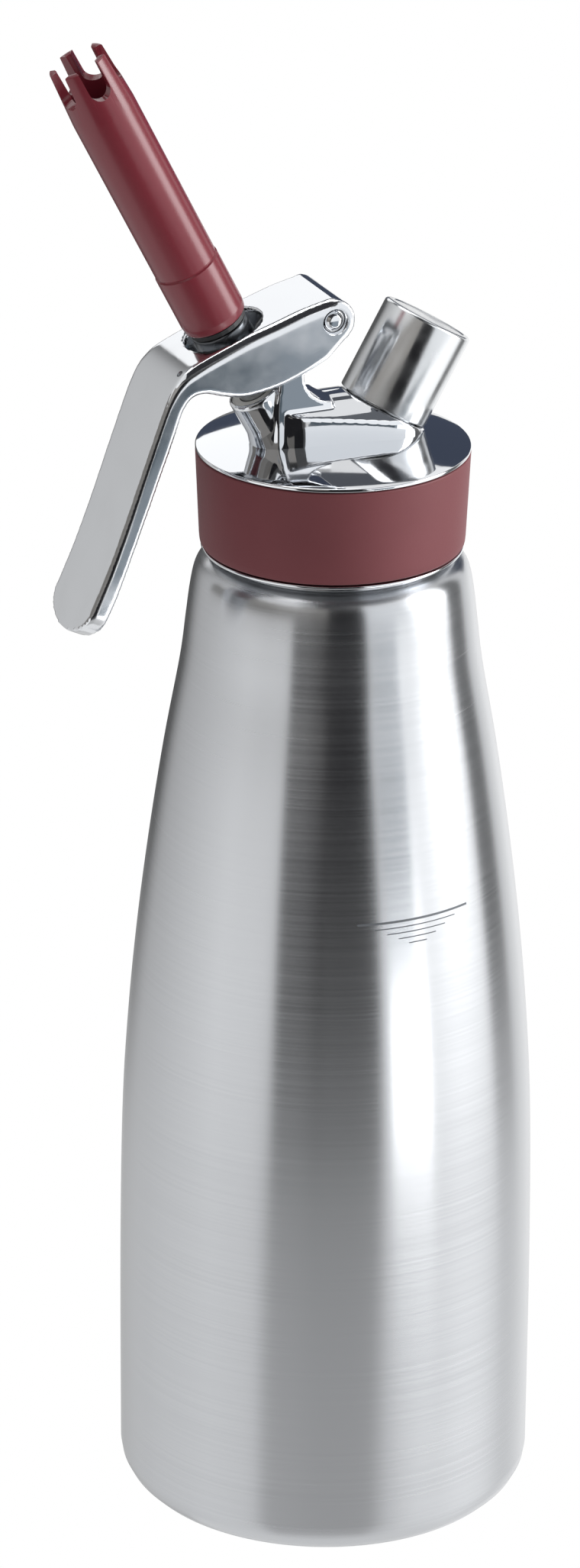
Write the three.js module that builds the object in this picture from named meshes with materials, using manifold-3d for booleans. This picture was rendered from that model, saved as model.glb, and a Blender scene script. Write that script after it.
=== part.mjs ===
// Whipped cream dispenser with a charger port, in millimetres, +Z up.
// The origin is on the bottle's axis at its base. The handle points to -X, the charger port to +X.
import * as THREE from 'three';
import { mergeVertices } from 'three/addons/utils/BufferGeometryUtils.js';
import Module from 'manifold-3d';

const wasm = await Module();
wasm.setup();

// Driving dimensions shared by several pieces.
const fitGap = 0.3;
const runningGap = 0.2;
const cutOverrun = 6;
const largeSides = 48;
const smallSides = 24;

// Bottle: a deep drawn shell with a threaded neck.
const bottleRadius = 48;
const shoulderHeight = 231;
const bottleCornerRadius = 8;
const bottleWall = 1.2;
const bottleFloor = 2;
const neckRadius = 26;
const neckWall = 2.4;
const neckHeight = 19.3;

// The side's height as shares of the shoulder's, and how far it stands out past the neck
// as shares of what the body does.
const bottleOutlineShares = [
  [0.24, 1.0], [0.4, 0.974], [0.5, 0.917], [0.6, 0.823], [0.7, 0.695], [0.8, 0.537],
  [0.887, 0.374], [0.931, 0.315], [0.961, 0.276], [0.983, 0.232], [0.9935, 0.173], [1.0, 0.073],
];

// Head shell: the round head that screws onto the neck, with a shallow dome.
const headShoulderGap = 1.8;
const lipHeight = 0.7;
const skirtWall = 1.9;
const lipOverhang = 1.3;
const rimOverhang = 2.6;
const rimHeight = 0.9;
const rimEdge = 0.5;
const domeRise = 2.9;
const domeSheet = 2;
const domeFlatRadius = 9;
const ceilingRingWidth = 5;

// Silicone grip band round the head cap.
const bandHeight = 21.6;
const bandBottomThickness = 1.5;
const bandCorner = 0.9;

// Head gasket between the neck and the cap's ceiling.
const gasketThickness = 3;
const gasketWidth = 4.2;

// Lever pivot, seen from the side. Each rise is a height above the bottle's shoulder.
const pivotX = -4.5;
const pivotRise = 57.8;
const pinRadius = 2.2;
const leverWidth = 21.4;
const leverSheet = 1.7;
const leverEyeRadius = 4.9;
const leverReach = 61.3;
const leverDrop = 66.5;
const leverTipDepth = 6.8;

// The lever's upper and lower edges as shares of its reach and drop from the pivot.
const leverUpperShares = [
  [0.0, -0.077], [0.113, -0.052], [0.23, -0.016], [0.345, 0.018], [0.46, 0.06], [0.525, 0.086],
  [0.57, 0.109], [0.603, 0.137], [0.63, 0.172], [0.655, 0.22], [0.682, 0.283], [0.745, 0.441],
  [0.81, 0.606], [0.875, 0.759], [0.94, 0.892], [0.992, 0.996],
];
const leverLowerShares = [
  [0.023, 0.123], [0.112, 0.165], [0.2, 0.196], [0.289, 0.214], [0.365, 0.219], [0.44, 0.206],
  [0.495, 0.191], [0.537, 0.192], [0.568, 0.21], [0.595, 0.252], [0.626, 0.334], [0.69, 0.49],
  [0.76, 0.66], [0.819, 0.8], [0.861, 0.892], [0.915, 0.985],
];
const nozzleHoleRadius = 8.6;
const nozzleHoleStretch = 0.8;
const lugRadius = 2;
const lugInnerY = 4.6;

// Valve axis: it leans to -X through a point level with the lever's top, below the pivot.
const valveTilt = THREE.MathUtils.degToRad(27.5);
const valveX = -27.5;
const valveDrop = 1.7;

// Heights along the valve axis are counted from that point.
const bossRadius = 5.8;
const bossTop = -19;
const bossFlare = 1.2;
const bossFlareHeight = 5;
const bossFoot = -36;
const valveSpigotRadius = 7.4;
const valveSpigotEnd = -49;
const valveBoreRadius = 4.6;
const seatBoreRadius = 3.8;
const seatBoreTop = -37;
const seatPlane = -43.5;
const cageThreadRadius = 6.1;

const stemRadius = 3.4;
const stemTop = 1.7;
const stemCollarRadius = 6.4;
const stemCollarHeight = 2.2;
const stemChannelRadius = 1.5;
const stemWaistRadius = 2.4;
const stemWaistTop = -38.5;
const grooveRadius = 2.9;
const grooveMiddle = -32.5;
const grooveHalfWidth = 0.9;
const ringSection = 0.65;
const plugRadius = 4.4;
const plugHeight = 3;
const sealThickness = 1.4;
const crossHoleRadius = 1.1;

const guideLength = 7.6;
const guideFlangeRadius = 5.4;
const guideFlangeHeight = 0.9;

const cageWall = 0.8;
const cageEnd = -59.5;
const cageFloor = 1.4;
const cageInletRadius = 1.8;
const cageWindowWidth = 4;
const cageWindowHeight = 5;
const springWire = 0.45;
const springRadius = 3.6;
const springTurns = 5;

// Nozzle adapter, its seal and the decorating nozzle.
const adapterFlangeRadius = 6.6;
const adapterFlangeHeight = 7.7;
const adapterClearance = 0.5;
const adapterThreadRadius = 4.9;
const adapterThreadLength = 13;
const adapterBoreRadius = 2.2;
const nozzleSealThickness = 1;
const nozzleBaseRadius = 7.45;
const nozzleTubeRadius = 7.3;
const nozzleTipRadius = 6.6;
const nozzleTaperLength = 13;
const nozzleLength = 69.8;
const nozzleCollarHeight = 15.3;
const nozzleSeam = 0.35;
const nozzleCorner = 1;
const nozzleMouthRadius = 5.1;
const nozzleBoreRadius = 4.4;
const nozzleSocketDepth = 12.6;
const insertWall = 0.8;
const notchCount = 5;
const notchDepth = 8;
const notchWidth = 4.9;

// Saddle, lever post and charger boss, cast with the head shell and polished with it.
const saddleLeftX = -9.5;
const saddleLeftRadius = 8.2;
const saddleRightX = 10.5;
const saddleRightRadius = 11;
const saddleCrownRadius = 14;
const saddleRise = 38;
const postWidth = 13;
const postEyeRadius = 3.2;
const postFaceX = -10;
const postFillet = 7;
const postShoulderX = -15.6;
const postShoulderRise = 48.5;
const postBaseX = -16.5;

// Charger axis: it leans to +X through the bottom of the protective cap.
const chargerTilt = THREE.MathUtils.degToRad(29.8);
const chargerX = 12;
const chargerRise = 33;
const capRadius = 10.5;
const capHeight = 22.1;
const capWall = 1.7;
const capTop = 2.8;
const capEdge = 0.8;
const chargerBossRadius = 10.2;
const chargerBossDepth = 8;
const nippleLength = 13;
const nippleBoreRadius = 4.5;
const nippleBoreDepth = 7.5;
const chamberRadius = 3.2;
const chamberDepth = 10.5;
const gasPassageRadius = 1.2;
const linerThickness = 1.8;
const piercingTipRadius = 0.9;
const piercingBodyRadius = 2.9;
const piercingBodyDepth = 3.3;
const piercingFlangeHeight = 1;
const piercingTipLength = 3.6;
const piercingBoreRadius = 0.35;
const chargerSealThickness = 1.8;
const chargerSealHole = 1.6;
const checkDiscRadius = 2.4;
const checkDiscHeight = 1.2;
const checkStemRadius = 1;
const checkStemLength = 1.6;
const checkSpringWire = 0.28;
const checkSpringRadius = 1.9;
const checkSpringTurns = 4;

// Levels and radii worked out from the sizes above.
const pivotZ = shoulderHeight + pivotRise;
const valveZ = pivotZ - valveDrop;
const saddleTop = shoulderHeight + saddleRise;
const postShoulderZ = shoulderHeight + postShoulderRise;
const chargerZ = shoulderHeight + chargerRise;
const neckTop = shoulderHeight + neckHeight;
const skirtBottom = shoulderHeight + headShoulderGap;
const bandBottom = skirtBottom + lipHeight + fitGap;
const bandTop = bandBottom + bandHeight;
const rimBottom = bandTop + fitGap;
const rimTop = rimBottom + rimHeight;
const skirtInnerRadius = neckRadius + fitGap;
const skirtRadius = skirtInnerRadius + skirtWall;
const lipRadius = skirtRadius + lipOverhang;
const rimRadius = skirtRadius + rimOverhang;
const bandBottomRadius = skirtRadius + bandBottomThickness;
const ceilingInnerRadius = neckRadius - ceilingRingWidth;
const gasketInnerRadius = neckRadius - gasketWidth;
const ceiling = neckTop + gasketThickness + fitGap + fitGap;
const domeTop = rimTop + domeRise;

// Frames of the two leaning axes.
const alongY = new THREE.Vector3(0, 1, 0);
const unitScale = new THREE.Vector3(1, 1, 1);
const leaningFrame = (x, z, tilt) => new THREE.Matrix4().compose(
  new THREE.Vector3(x, 0, z),
  new THREE.Quaternion().setFromAxisAngle(alongY, tilt),
  unitScale,
);
const valveFrame = leaningFrame(valveX, valveZ, -valveTilt);
const chargerFrame = leaningFrame(chargerX, chargerZ, chargerTilt);

// Where the valve axis passes closest to the pivot: the lever presses there.
const pressHeight = (pivotZ - valveZ) * Math.cos(valveTilt)
  - (pivotX - valveX) * Math.sin(valveTilt);

// Helpers that turn three.js shapes into closed geometry.
const lathe = (profile, sides) => {
  const points = profile.map(([radius, height]) => new THREE.Vector2(radius, height));
  return new THREE.LatheGeometry(points, sides).rotateX(Math.PI / 2);
};

const ring = (inner, outer, bottom, top, sides = smallSides) => lathe(
  [[inner, bottom], [outer, bottom], [outer, top], [inner, top], [inner, bottom]],
  sides,
);

const rod = (radius, bottom, top, sides = smallSides) => lathe(
  [[0, bottom], [radius, bottom], [radius, top], [0, top]],
  sides,
);

const sideExtrude = (shape, width) => new THREE.ExtrudeGeometry(
  shape,
  { depth: width, bevelEnabled: false, curveSegments: smallSides / 2 },
).rotateX(Math.PI / 2).translate(0, width / 2, 0);

const crossRod = (radius, width, x, z) => new THREE.CylinderGeometry(radius, radius, width, smallSides)
  .translate(x, 0, z);

const solidOf = (geometry) => {
  const bare = geometry.clone();
  bare.deleteAttribute('normal');
  bare.deleteAttribute('uv');
  const merged = mergeVertices(bare);
  return new wasm.Manifold(new wasm.Mesh({
    numProp: 3,
    vertProperties: new Float32Array(merged.attributes.position.array),
    triVerts: new Uint32Array(merged.index.array),
  }));
};

const geometryOf = (solid) => {
  const mesh = solid.getMesh();
  const geometry = new THREE.BufferGeometry();
  geometry.setAttribute('position', new THREE.BufferAttribute(mesh.vertProperties, 3));
  geometry.setIndex(new THREE.BufferAttribute(mesh.triVerts, 1));
  geometry.computeVertexNormals();
  return geometry;
};

const placed = (geometry, frame) => solidOf(geometry.clone().applyMatrix4(frame));

class Helix extends THREE.Curve {
  constructor(radius, bottom, top, turns) {
    super();
    Object.assign(this, { radius, bottom, top, turns });
  }

  getPoint(share, target = new THREE.Vector3()) {
    const angle = 2 * Math.PI * this.turns * share;
    return target.set(
      this.radius * Math.cos(angle),
      this.radius * Math.sin(angle),
      THREE.MathUtils.lerp(this.bottom, this.top, share),
    );
  }
}

const coilSpring = (radius, wire, bottom, top, turns) => {
  const section = new THREE.Shape().absarc(0, 0, wire, 0, 2 * Math.PI);
  const path = new Helix(radius, bottom + wire, top - wire, turns);
  return new THREE.ExtrudeGeometry(
    section,
    { steps: turns * 9, curveSegments: 2, bevelEnabled: false, extrudePath: path },
  );
};

// Finishes.
const finish = (color, metalness, roughness) => ({ color, metalness, roughness });
const brushedSteel = finish(0xb9babb, 1, 0.34);
const polishedSteel = finish(0xd6d9dc, 1, 0.08);
const plainSteel = finish(0xaeb2b6, 1, 0.3);
const redSilicone = finish(0x74404a, 0, 0.75);
const redPlastic = finish(0x7a2a31, 0, 0.32);
const blackRubber = finish(0x1d1d1f, 0, 0.7);
const clearSilicone = finish(0xcfcac2, 0, 0.6);
const whitePlastic = finish(0xe6e3dc, 0, 0.5);
const springSteel = finish(0x9da1a6, 1, 0.25);

const piece = (name, geometry, look) => {
  const mesh = new THREE.Mesh(geometry, new THREE.MeshStandardMaterial(look));
  mesh.name = name;
  return mesh;
};

// Bottle.
const makeBottle = () => {
  const side = new THREE.SplineCurve([
    new THREE.Vector2(bottleRadius, bottleCornerRadius),
    ...bottleOutlineShares.map(([heightShare, standShare]) => new THREE.Vector2(
      THREE.MathUtils.lerp(neckRadius, bottleRadius, standShare),
      shoulderHeight * heightShare,
    )),
  ]).getPoints(18);
  const corner = new THREE.Path().absarc(
    bottleRadius - bottleCornerRadius,
    bottleCornerRadius,
    bottleCornerRadius,
    -Math.PI / 2,
    0,
  ).getPoints(4);
  const innerCorner = new THREE.Path().absarc(
    bottleRadius - bottleCornerRadius,
    bottleCornerRadius,
    bottleCornerRadius - bottleWall,
    0,
    -Math.PI / 2 + Math.asin(bottleFloor / bottleCornerRadius),
    true,
  ).getPoints(3);
  const innerSide = side
    .filter((point) => point.x - bottleWall > neckRadius - neckWall)
    .map((point) => new THREE.Vector2(point.x - bottleWall, point.y - bottleWall / 2))
    .filter((point, index) => index > 0 && index % 2 === 0)
    .reverse();
  const toPair = (point) => [point.x, point.y];
  return lathe([
    [0, 0],
    ...corner.map(toPair),
    ...side.slice(1).map(toPair),
    [neckRadius, shoulderHeight],
    [neckRadius, neckTop],
    [neckRadius - neckWall, neckTop],
    [neckRadius - neckWall, shoulderHeight - bottleWall],
    ...innerSide.map(toPair),
    ...innerCorner.map(toPair),
    [0, bottleFloor],
  ], largeSides);
};

// Round part of the head: skirt, lip, rim and shallow dome in one closed section.
const domeUnderside = domeTop - domeSheet;
const roundHead = () => {
  const dome = new THREE.QuadraticBezierCurve(
    new THREE.Vector2(rimRadius - rimEdge, rimTop),
    new THREE.Vector2((rimRadius + domeFlatRadius) / 2, domeTop),
    new THREE.Vector2(domeFlatRadius, domeTop),
  ).getPoints(8).map((point) => [point.x, point.y]);
  return lathe([
    [0, domeUnderside],
    [domeFlatRadius, domeUnderside],
    [ceilingInnerRadius, ceiling],
    [skirtInnerRadius, ceiling],
    [skirtInnerRadius, skirtBottom],
    [lipRadius, skirtBottom],
    [lipRadius, skirtBottom + lipHeight],
    [skirtRadius, skirtBottom + lipHeight],
    [skirtRadius, rimBottom],
    [rimRadius, rimBottom],
    [rimRadius, rimTop - rimEdge],
    ...dome,
    [0, domeTop],
  ], largeSides);
};

// Silicone band: slightly wider at the top, with a soft lower corner.
const makeGripBand = () => lathe([
  [skirtRadius + fitGap, bandBottom],
  [bandBottomRadius - bandCorner, bandBottom],
  [bandBottomRadius, bandBottom + bandCorner],
  [rimRadius, bandTop],
  [skirtRadius + fitGap, bandTop],
  [skirtRadius + fitGap, bandBottom],
], largeSides);

// The saddle's plan: two circles joined by their common tangents.
const saddlePlan = () => {
  const spread = saddleRightX - saddleLeftX;
  const lean = Math.asin((saddleRightRadius - saddleLeftRadius) / spread);
  const turn = Math.PI / 2 + lean;
  return new THREE.Shape()
    .absarc(saddleRightX, 0, saddleRightRadius, -turn, turn)
    .absarc(saddleLeftX, 0, saddleLeftRadius, turn, 2 * Math.PI - turn);
};

// The lever post from the side: an eye round the pin on a leg that flares into the saddle.
const postOutline = () => {
  const eyeTurn = Math.PI / 4;
  const shape = new THREE.Shape();
  shape.moveTo(postBaseX, domeUnderside);
  shape.lineTo(postFaceX + postFillet, domeUnderside);
  shape.lineTo(postFaceX + postFillet, saddleTop);
  shape.absarc(postFaceX + postFillet, saddleTop + postFillet, postFillet, -Math.PI / 2, -Math.PI, true);
  shape.absarc(pivotX, pivotZ, postEyeRadius, -eyeTurn, Math.PI - eyeTurn);
  shape.lineTo(postShoulderX, postShoulderZ);
  shape.lineTo(postBaseX, saddleTop);
  return shape;
};

const makeHeadShell = () => {
  const plan = new THREE.ExtrudeGeometry(
    saddlePlan(),
    { depth: saddleTop - domeUnderside, bevelEnabled: false, curveSegments: smallSides / 2 },
  ).translate(0, 0, domeUnderside);
  const crown = new THREE.CylinderGeometry(
    saddleCrownRadius,
    saddleCrownRadius,
    2 * bottleRadius,
    largeSides,
  ).rotateZ(Math.PI / 2).translate(0, 0, saddleTop - saddleCrownRadius);
  const saddle = solidOf(plan).intersect(solidOf(crown));
  const post = solidOf(sideExtrude(postOutline(), postWidth));
  const boss = placed(lathe([
    [0, bossFoot],
    [bossRadius + bossFlare, bossFoot],
    [bossRadius + bossFlare, bossFoot + bossFlareHeight],
    [bossRadius, bossFoot + bossFlareHeight + bossFlareHeight],
    [bossRadius, bossTop],
    [0, bossTop],
  ], smallSides), valveFrame);
  const cageSpigot = placed(
    rod(valveSpigotRadius, valveSpigotEnd, bossFoot + bossFlareHeight / 2),
    valveFrame,
  );

  // Nothing of the saddle stands above the protective cap's lower edge.
  const capRoom = placed(
    rod(capRadius + cutOverrun, -fitGap, nippleLength + cutOverrun),
    chargerFrame,
  );
  const chargerBoss = placed(rod(chargerBossRadius, -chargerBossDepth, fitGap), chargerFrame);
  const nippleRadius = capRadius - capWall - fitGap;
  const nipple = placed(rod(nippleRadius, -chargerBossDepth, nippleLength), chargerFrame);

  // Room for the moving stem, adapter and nozzle above the boss.
  const stemRoom = placed(
    rod(stemCollarRadius + fitGap + fitGap, bossTop, cutOverrun),
    valveFrame,
  );
  const mouth = nippleLength + cutOverrun;
  const nippleFloor = nippleLength - nippleBoreDepth;
  const bores = [
    placed(rod(valveBoreRadius, seatBoreTop, bossTop + cutOverrun), valveFrame),
    placed(rod(seatBoreRadius, seatPlane - cutOverrun, seatBoreTop + fitGap), valveFrame),
    placed(rod(cageThreadRadius, valveSpigotEnd - cutOverrun, seatPlane), valveFrame),
    placed(rod(nippleBoreRadius, nippleFloor, mouth), chargerFrame),
    placed(rod(chamberRadius, nippleFloor - chamberDepth, mouth), chargerFrame),
    placed(rod(gasPassageRadius, -chargerBossDepth - cutOverrun, mouth), chargerFrame),
    solidOf(crossRod(pinRadius + runningGap, leverWidth, pivotX, pivotZ)),
  ];
  let shell = saddle.add(post).add(chargerBoss).subtract(capRoom);
  shell = shell.add(boss).add(cageSpigot).add(nipple).add(solidOf(roundHead()));
  shell = shell.subtract(stemRoom);
  for (const bore of bores) {
    shell = shell.subtract(bore);
  }
  return geometryOf(shell);
};

// A line of points moved sideways by a distance, to the left of its direction.
const offsetLine = (points, distance) => points.map((point, index) => {
  const before = points[Math.max(index - 1, 0)];
  const after = points[Math.min(index + 1, points.length - 1)];
  const direction = after.clone().sub(before).normalize();
  return new THREE.Vector2(point.x - direction.y * distance, point.y + direction.x * distance);
});

const leverLine = (shares, divisions) => new THREE.SplineCurve(
  shares.map(([reachShare, dropShare]) => new THREE.Vector2(
    pivotX - leverReach * reachShare,
    pivotZ - leverDrop * dropShare,
  )),
).getPoints(divisions);

// What lies beyond a rounded end on a flat bar, for cutting the handle's tip.
const beyondRoundEnd = (inset) => {
  const shape = new THREE.Shape();
  const reach = leverWidth + cutOverrun;
  const halfWidth = leverWidth / 2 - inset;
  shape.moveTo(0, -halfWidth);
  shape.absellipse(0, 0, leverTipDepth - inset, halfWidth, -Math.PI / 2, Math.PI / 2);
  shape.lineTo(0, reach);
  shape.lineTo(reach, reach);
  shape.lineTo(reach, -reach);
  shape.lineTo(0, -reach);
  return new THREE.ExtrudeGeometry(shape, { depth: reach, bevelEnabled: false, curveSegments: smallSides / 2 })
    .translate(0, 0, -reach / 2);
};

const makeLever = () => {
  const upper = leverLine(leverUpperShares, 30);
  const lower = leverLine(leverLowerShares, 30);
  const eye = new THREE.Path().absarc(
    pivotX,
    pivotZ,
    leverEyeRadius,
    Math.PI / 2 - runningGap,
    -Math.PI / 4,
    true,
  ).getPoints(8);
  const body = solidOf(sideExtrude(
    new THREE.Shape([...upper.slice().reverse(), ...eye, ...lower]),
    leverWidth,
  ));

  // The channel under the lever, open towards the bottle and at the pivot end.
  const underSheet = offsetLine(upper, leverSheet);
  const start = underSheet[0];
  const tip = upper[upper.length - 1];
  const channelShape = new THREE.Shape([
    ...underSheet.slice().reverse(),
    new THREE.Vector2(start.x + leverEyeRadius + cutOverrun, start.y),
    new THREE.Vector2(start.x + leverEyeRadius + cutOverrun, tip.y - cutOverrun),
  ]);
  const channel = solidOf(sideExtrude(channelShape, leverWidth - 2 * leverSheet));

  // The handle's tip is a half ellipse as wide as the lever.
  const beforeTip = upper[upper.length - 4];
  const along = new THREE.Vector3(tip.x - beforeTip.x, 0, tip.y - beforeTip.y).normalize();
  const across = new THREE.Vector3(0, 1, 0);
  const through = along.clone().cross(across);
  const tipFrame = new THREE.Matrix4().makeBasis(along, across, through).setPosition(
    tip.x - along.x * leverTipDepth,
    0,
    tip.y - along.z * leverTipDepth,
  );
  const outside = placed(beyondRoundEnd(0), tipFrame);
  const wallOutside = placed(beyondRoundEnd(leverSheet), tipFrame);

  // Two round lugs press on the stem's collar.
  const lugX = valveX - pressHeight * Math.sin(valveTilt);
  const lugZ = valveZ + pressHeight * Math.cos(valveTilt);
  const lugLength = leverWidth - leverSheet;
  const lugs = solidOf(crossRod(lugRadius, lugLength, lugX, lugZ))
    .subtract(solidOf(new THREE.BoxGeometry(cutOverrun, 2 * lugInnerY, cutOverrun).translate(lugX, 0, lugZ)));

  // The nozzle's hole is a little longer than wide, because the lever swings.
  const holeRod = rod(nozzleHoleRadius, -cutOverrun, cutOverrun);
  const nozzleHole = placed(holeRod, valveFrame)
    .add(placed(holeRod.clone().translate(nozzleHoleStretch, 0, 0), valveFrame));
  const pinHole = solidOf(crossRod(pinRadius + runningGap, leverWidth + cutOverrun, pivotX, pivotZ));
  return geometryOf(
    body.subtract(outside)
      .subtract(channel.subtract(wallOutside))
      .subtract(nozzleHole)
      .add(lugs)
      .subtract(pinHole),
  );
};

// Valve stem: a hollow piston with a collar, a ring groove, a waist and a plug.
const collarTop = pressHeight - lugRadius - fitGap;
const plugTop = seatPlane - fitGap - sealThickness - fitGap;
const plugBottom = plugTop - plugHeight;
const makeStem = () => {
  const outer = solidOf(lathe([
    [0, plugBottom],
    [plugRadius, plugBottom],
    [plugRadius, plugTop],
    [stemWaistRadius, plugTop],
    [stemWaistRadius, stemWaistTop],
    [stemRadius, stemWaistTop],
    [stemRadius, grooveMiddle - grooveHalfWidth],
    [grooveRadius, grooveMiddle - grooveHalfWidth],
    [grooveRadius, grooveMiddle + grooveHalfWidth],
    [stemRadius, grooveMiddle + grooveHalfWidth],
    [stemRadius, collarTop - stemCollarHeight],
    [stemCollarRadius, collarTop - stemCollarHeight],
    [stemCollarRadius, collarTop],
    [stemRadius, collarTop],
    [stemRadius, stemTop],
    [0, stemTop],
  ], smallSides));
  const crossHeight = stemWaistTop - crossHoleRadius - fitGap;
  const channel = solidOf(rod(stemChannelRadius, crossHeight - crossHoleRadius, stemTop + cutOverrun, smallSides));
  const crossHole = solidOf(crossRod(crossHoleRadius, plugRadius + plugRadius, 0, crossHeight));
  return geometryOf(outer.subtract(channel).subtract(crossHole));
};

const makeOring = () => {
  const middle = grooveRadius + fitGap / 2 + ringSection;
  const section = new THREE.Path().absarc(middle, grooveMiddle, ringSection, 0, 2 * Math.PI).getPoints(2);
  return lathe(section.map((point) => [point.x, point.y]), smallSides);
};

const makeGuide = () => lathe([
  [stemRadius + runningGap, bossTop - guideLength],
  [valveBoreRadius - runningGap, bossTop - guideLength],
  [valveBoreRadius - runningGap, bossTop + fitGap],
  [guideFlangeRadius, bossTop + fitGap],
  [guideFlangeRadius, bossTop + fitGap + guideFlangeHeight],
  [stemRadius + runningGap, bossTop + fitGap + guideFlangeHeight],
  [stemRadius + runningGap, bossTop - guideLength],
], smallSides);

const cageRadius = cageThreadRadius - runningGap;
const makeCage = () => {
  const cageTop = seatPlane - fitGap;
  const inner = cageRadius - cageWall;
  let cage = solidOf(lathe([
    [cageInletRadius, cageEnd],
    [cageRadius, cageEnd],
    [cageRadius, cageTop],
    [inner, cageTop],
    [inner, cageEnd + cageFloor],
    [cageInletRadius, cageEnd + cageFloor],
    [cageInletRadius, cageEnd],
  ], smallSides));
  const windowMiddle = valveSpigotEnd - cageWindowHeight / 2 - fitGap - fitGap;
  for (const turn of [0, Math.PI / 2]) {
    const windows = new THREE.BoxGeometry(cageWindowWidth, 3 * cageRadius, cageWindowHeight)
      .translate(0, 0, windowMiddle)
      .rotateZ(turn);
    cage = cage.subtract(solidOf(windows));
  }
  return geometryOf(cage);
};

// Adapter: its flange stands over the lugs, its thread carries the nozzle.
const adapterBottom = pressHeight + lugRadius + adapterClearance;
const adapterFlangeTop = adapterBottom + adapterFlangeHeight;
const makeAdapter = () => lathe([
  [stemRadius + runningGap, adapterBottom],
  [adapterFlangeRadius, adapterBottom],
  [adapterFlangeRadius, adapterFlangeTop],
  [adapterThreadRadius, adapterFlangeTop],
  [adapterThreadRadius, adapterFlangeTop + adapterThreadLength],
  [adapterBoreRadius, adapterFlangeTop + adapterThreadLength],
  [adapterBoreRadius, stemTop + fitGap],
  [stemRadius + runningGap, stemTop + fitGap],
  [stemRadius + runningGap, adapterBottom],
], smallSides);

const nozzleBottom = adapterFlangeTop + fitGap + nozzleSealThickness + fitGap;
const insertInnerRadius = adapterThreadRadius + fitGap;
const insertRadius = insertInnerRadius + insertWall;
const socketRadius = insertRadius + fitGap;
const makeNozzle = () => {
  const nozzleTip = nozzleBottom + nozzleLength;
  const seamHeight = nozzleBottom + nozzleCollarHeight;
  const socketTop = nozzleBottom + nozzleSocketDepth;
  let nozzle = solidOf(lathe([
    [socketRadius, nozzleBottom],
    [nozzleBaseRadius - nozzleCorner / 2, nozzleBottom],
    [nozzleBaseRadius, nozzleBottom + nozzleCorner],
    [nozzleBaseRadius, seamHeight - nozzleSeam],
    [nozzleBaseRadius - nozzleSeam, seamHeight],
    [nozzleBaseRadius - nozzleSeam / 2, seamHeight + nozzleSeam],
    [nozzleTubeRadius, nozzleTip - nozzleTaperLength],
    [nozzleTipRadius, nozzleTip],
    [nozzleMouthRadius, nozzleTip],
    [nozzleBoreRadius, nozzleTip - notchDepth - notchDepth],
    [nozzleBoreRadius, socketTop],
    [socketRadius, socketTop],
    [socketRadius, nozzleBottom],
  ], smallSides));
  const half = notchWidth / 2;
  const slot = new THREE.Shape()
    .absarc(0, nozzleTip - notchDepth + half, half, Math.PI, 2 * Math.PI)
    .lineTo(half, nozzleTip + cutOverrun)
    .lineTo(-half, nozzleTip + cutOverrun);
  const notch = new THREE.ExtrudeGeometry(slot, { depth: nozzleBaseRadius + cutOverrun, bevelEnabled: false })
    .rotateX(Math.PI / 2);
  for (let index = 0; index < notchCount; index += 1) {
    const turned = notch.clone().rotateZ(2 * Math.PI * index / notchCount);
    nozzle = nozzle.subtract(solidOf(turned));
  }
  return geometryOf(nozzle);
};

// Protective cap over the charger port, with a rubber liner under its top.
const capCeiling = capHeight - capTop;
const makeProtectiveCap = () => lathe([
  [capRadius - capWall, 0],
  [capRadius - capEdge / 2, 0],
  [capRadius, capEdge / 2],
  [capRadius, capHeight - capEdge],
  [capRadius - capEdge, capHeight],
  [0, capHeight],
  [0, capCeiling],
  [capRadius - capWall, capCeiling],
  [capRadius - capWall, 0],
], smallSides);

// Charger port: piercing pin, seal and gas check valve inside the nipple.
const shoulder = nippleLength - nippleBoreDepth;
const pinFlangeTop = shoulder + fitGap + piercingFlangeHeight;
const makePiercingPin = () => lathe([
  [piercingBoreRadius, shoulder - piercingBodyDepth],
  [piercingBodyRadius, shoulder - piercingBodyDepth],
  [piercingBodyRadius, shoulder + fitGap],
  [nippleBoreRadius - fitGap, shoulder + fitGap],
  [nippleBoreRadius - fitGap, pinFlangeTop],
  [piercingTipRadius, pinFlangeTop],
  [piercingTipRadius, pinFlangeTop + piercingTipLength / 2],
  [piercingBoreRadius, pinFlangeTop + piercingTipLength],
  [piercingBoreRadius, shoulder - piercingBodyDepth],
], smallSides);

const discTop = shoulder - piercingBodyDepth - fitGap;
const discBottom = discTop - checkDiscHeight;
const chamberFloor = shoulder - chamberDepth;
const makeCheckDisc = () => lathe([
  [0, discBottom - checkStemLength],
  [checkStemRadius, discBottom - checkStemLength],
  [checkStemRadius, discBottom],
  [checkDiscRadius, discBottom],
  [checkDiscRadius, discTop],
  [0, discTop],
], smallSides);

// Assembly.
const dispenser = new THREE.Group();
const valveGroup = new THREE.Group();
const chargerGroup = new THREE.Group();
valveGroup.applyMatrix4(valveFrame);
chargerGroup.applyMatrix4(chargerFrame);

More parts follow.
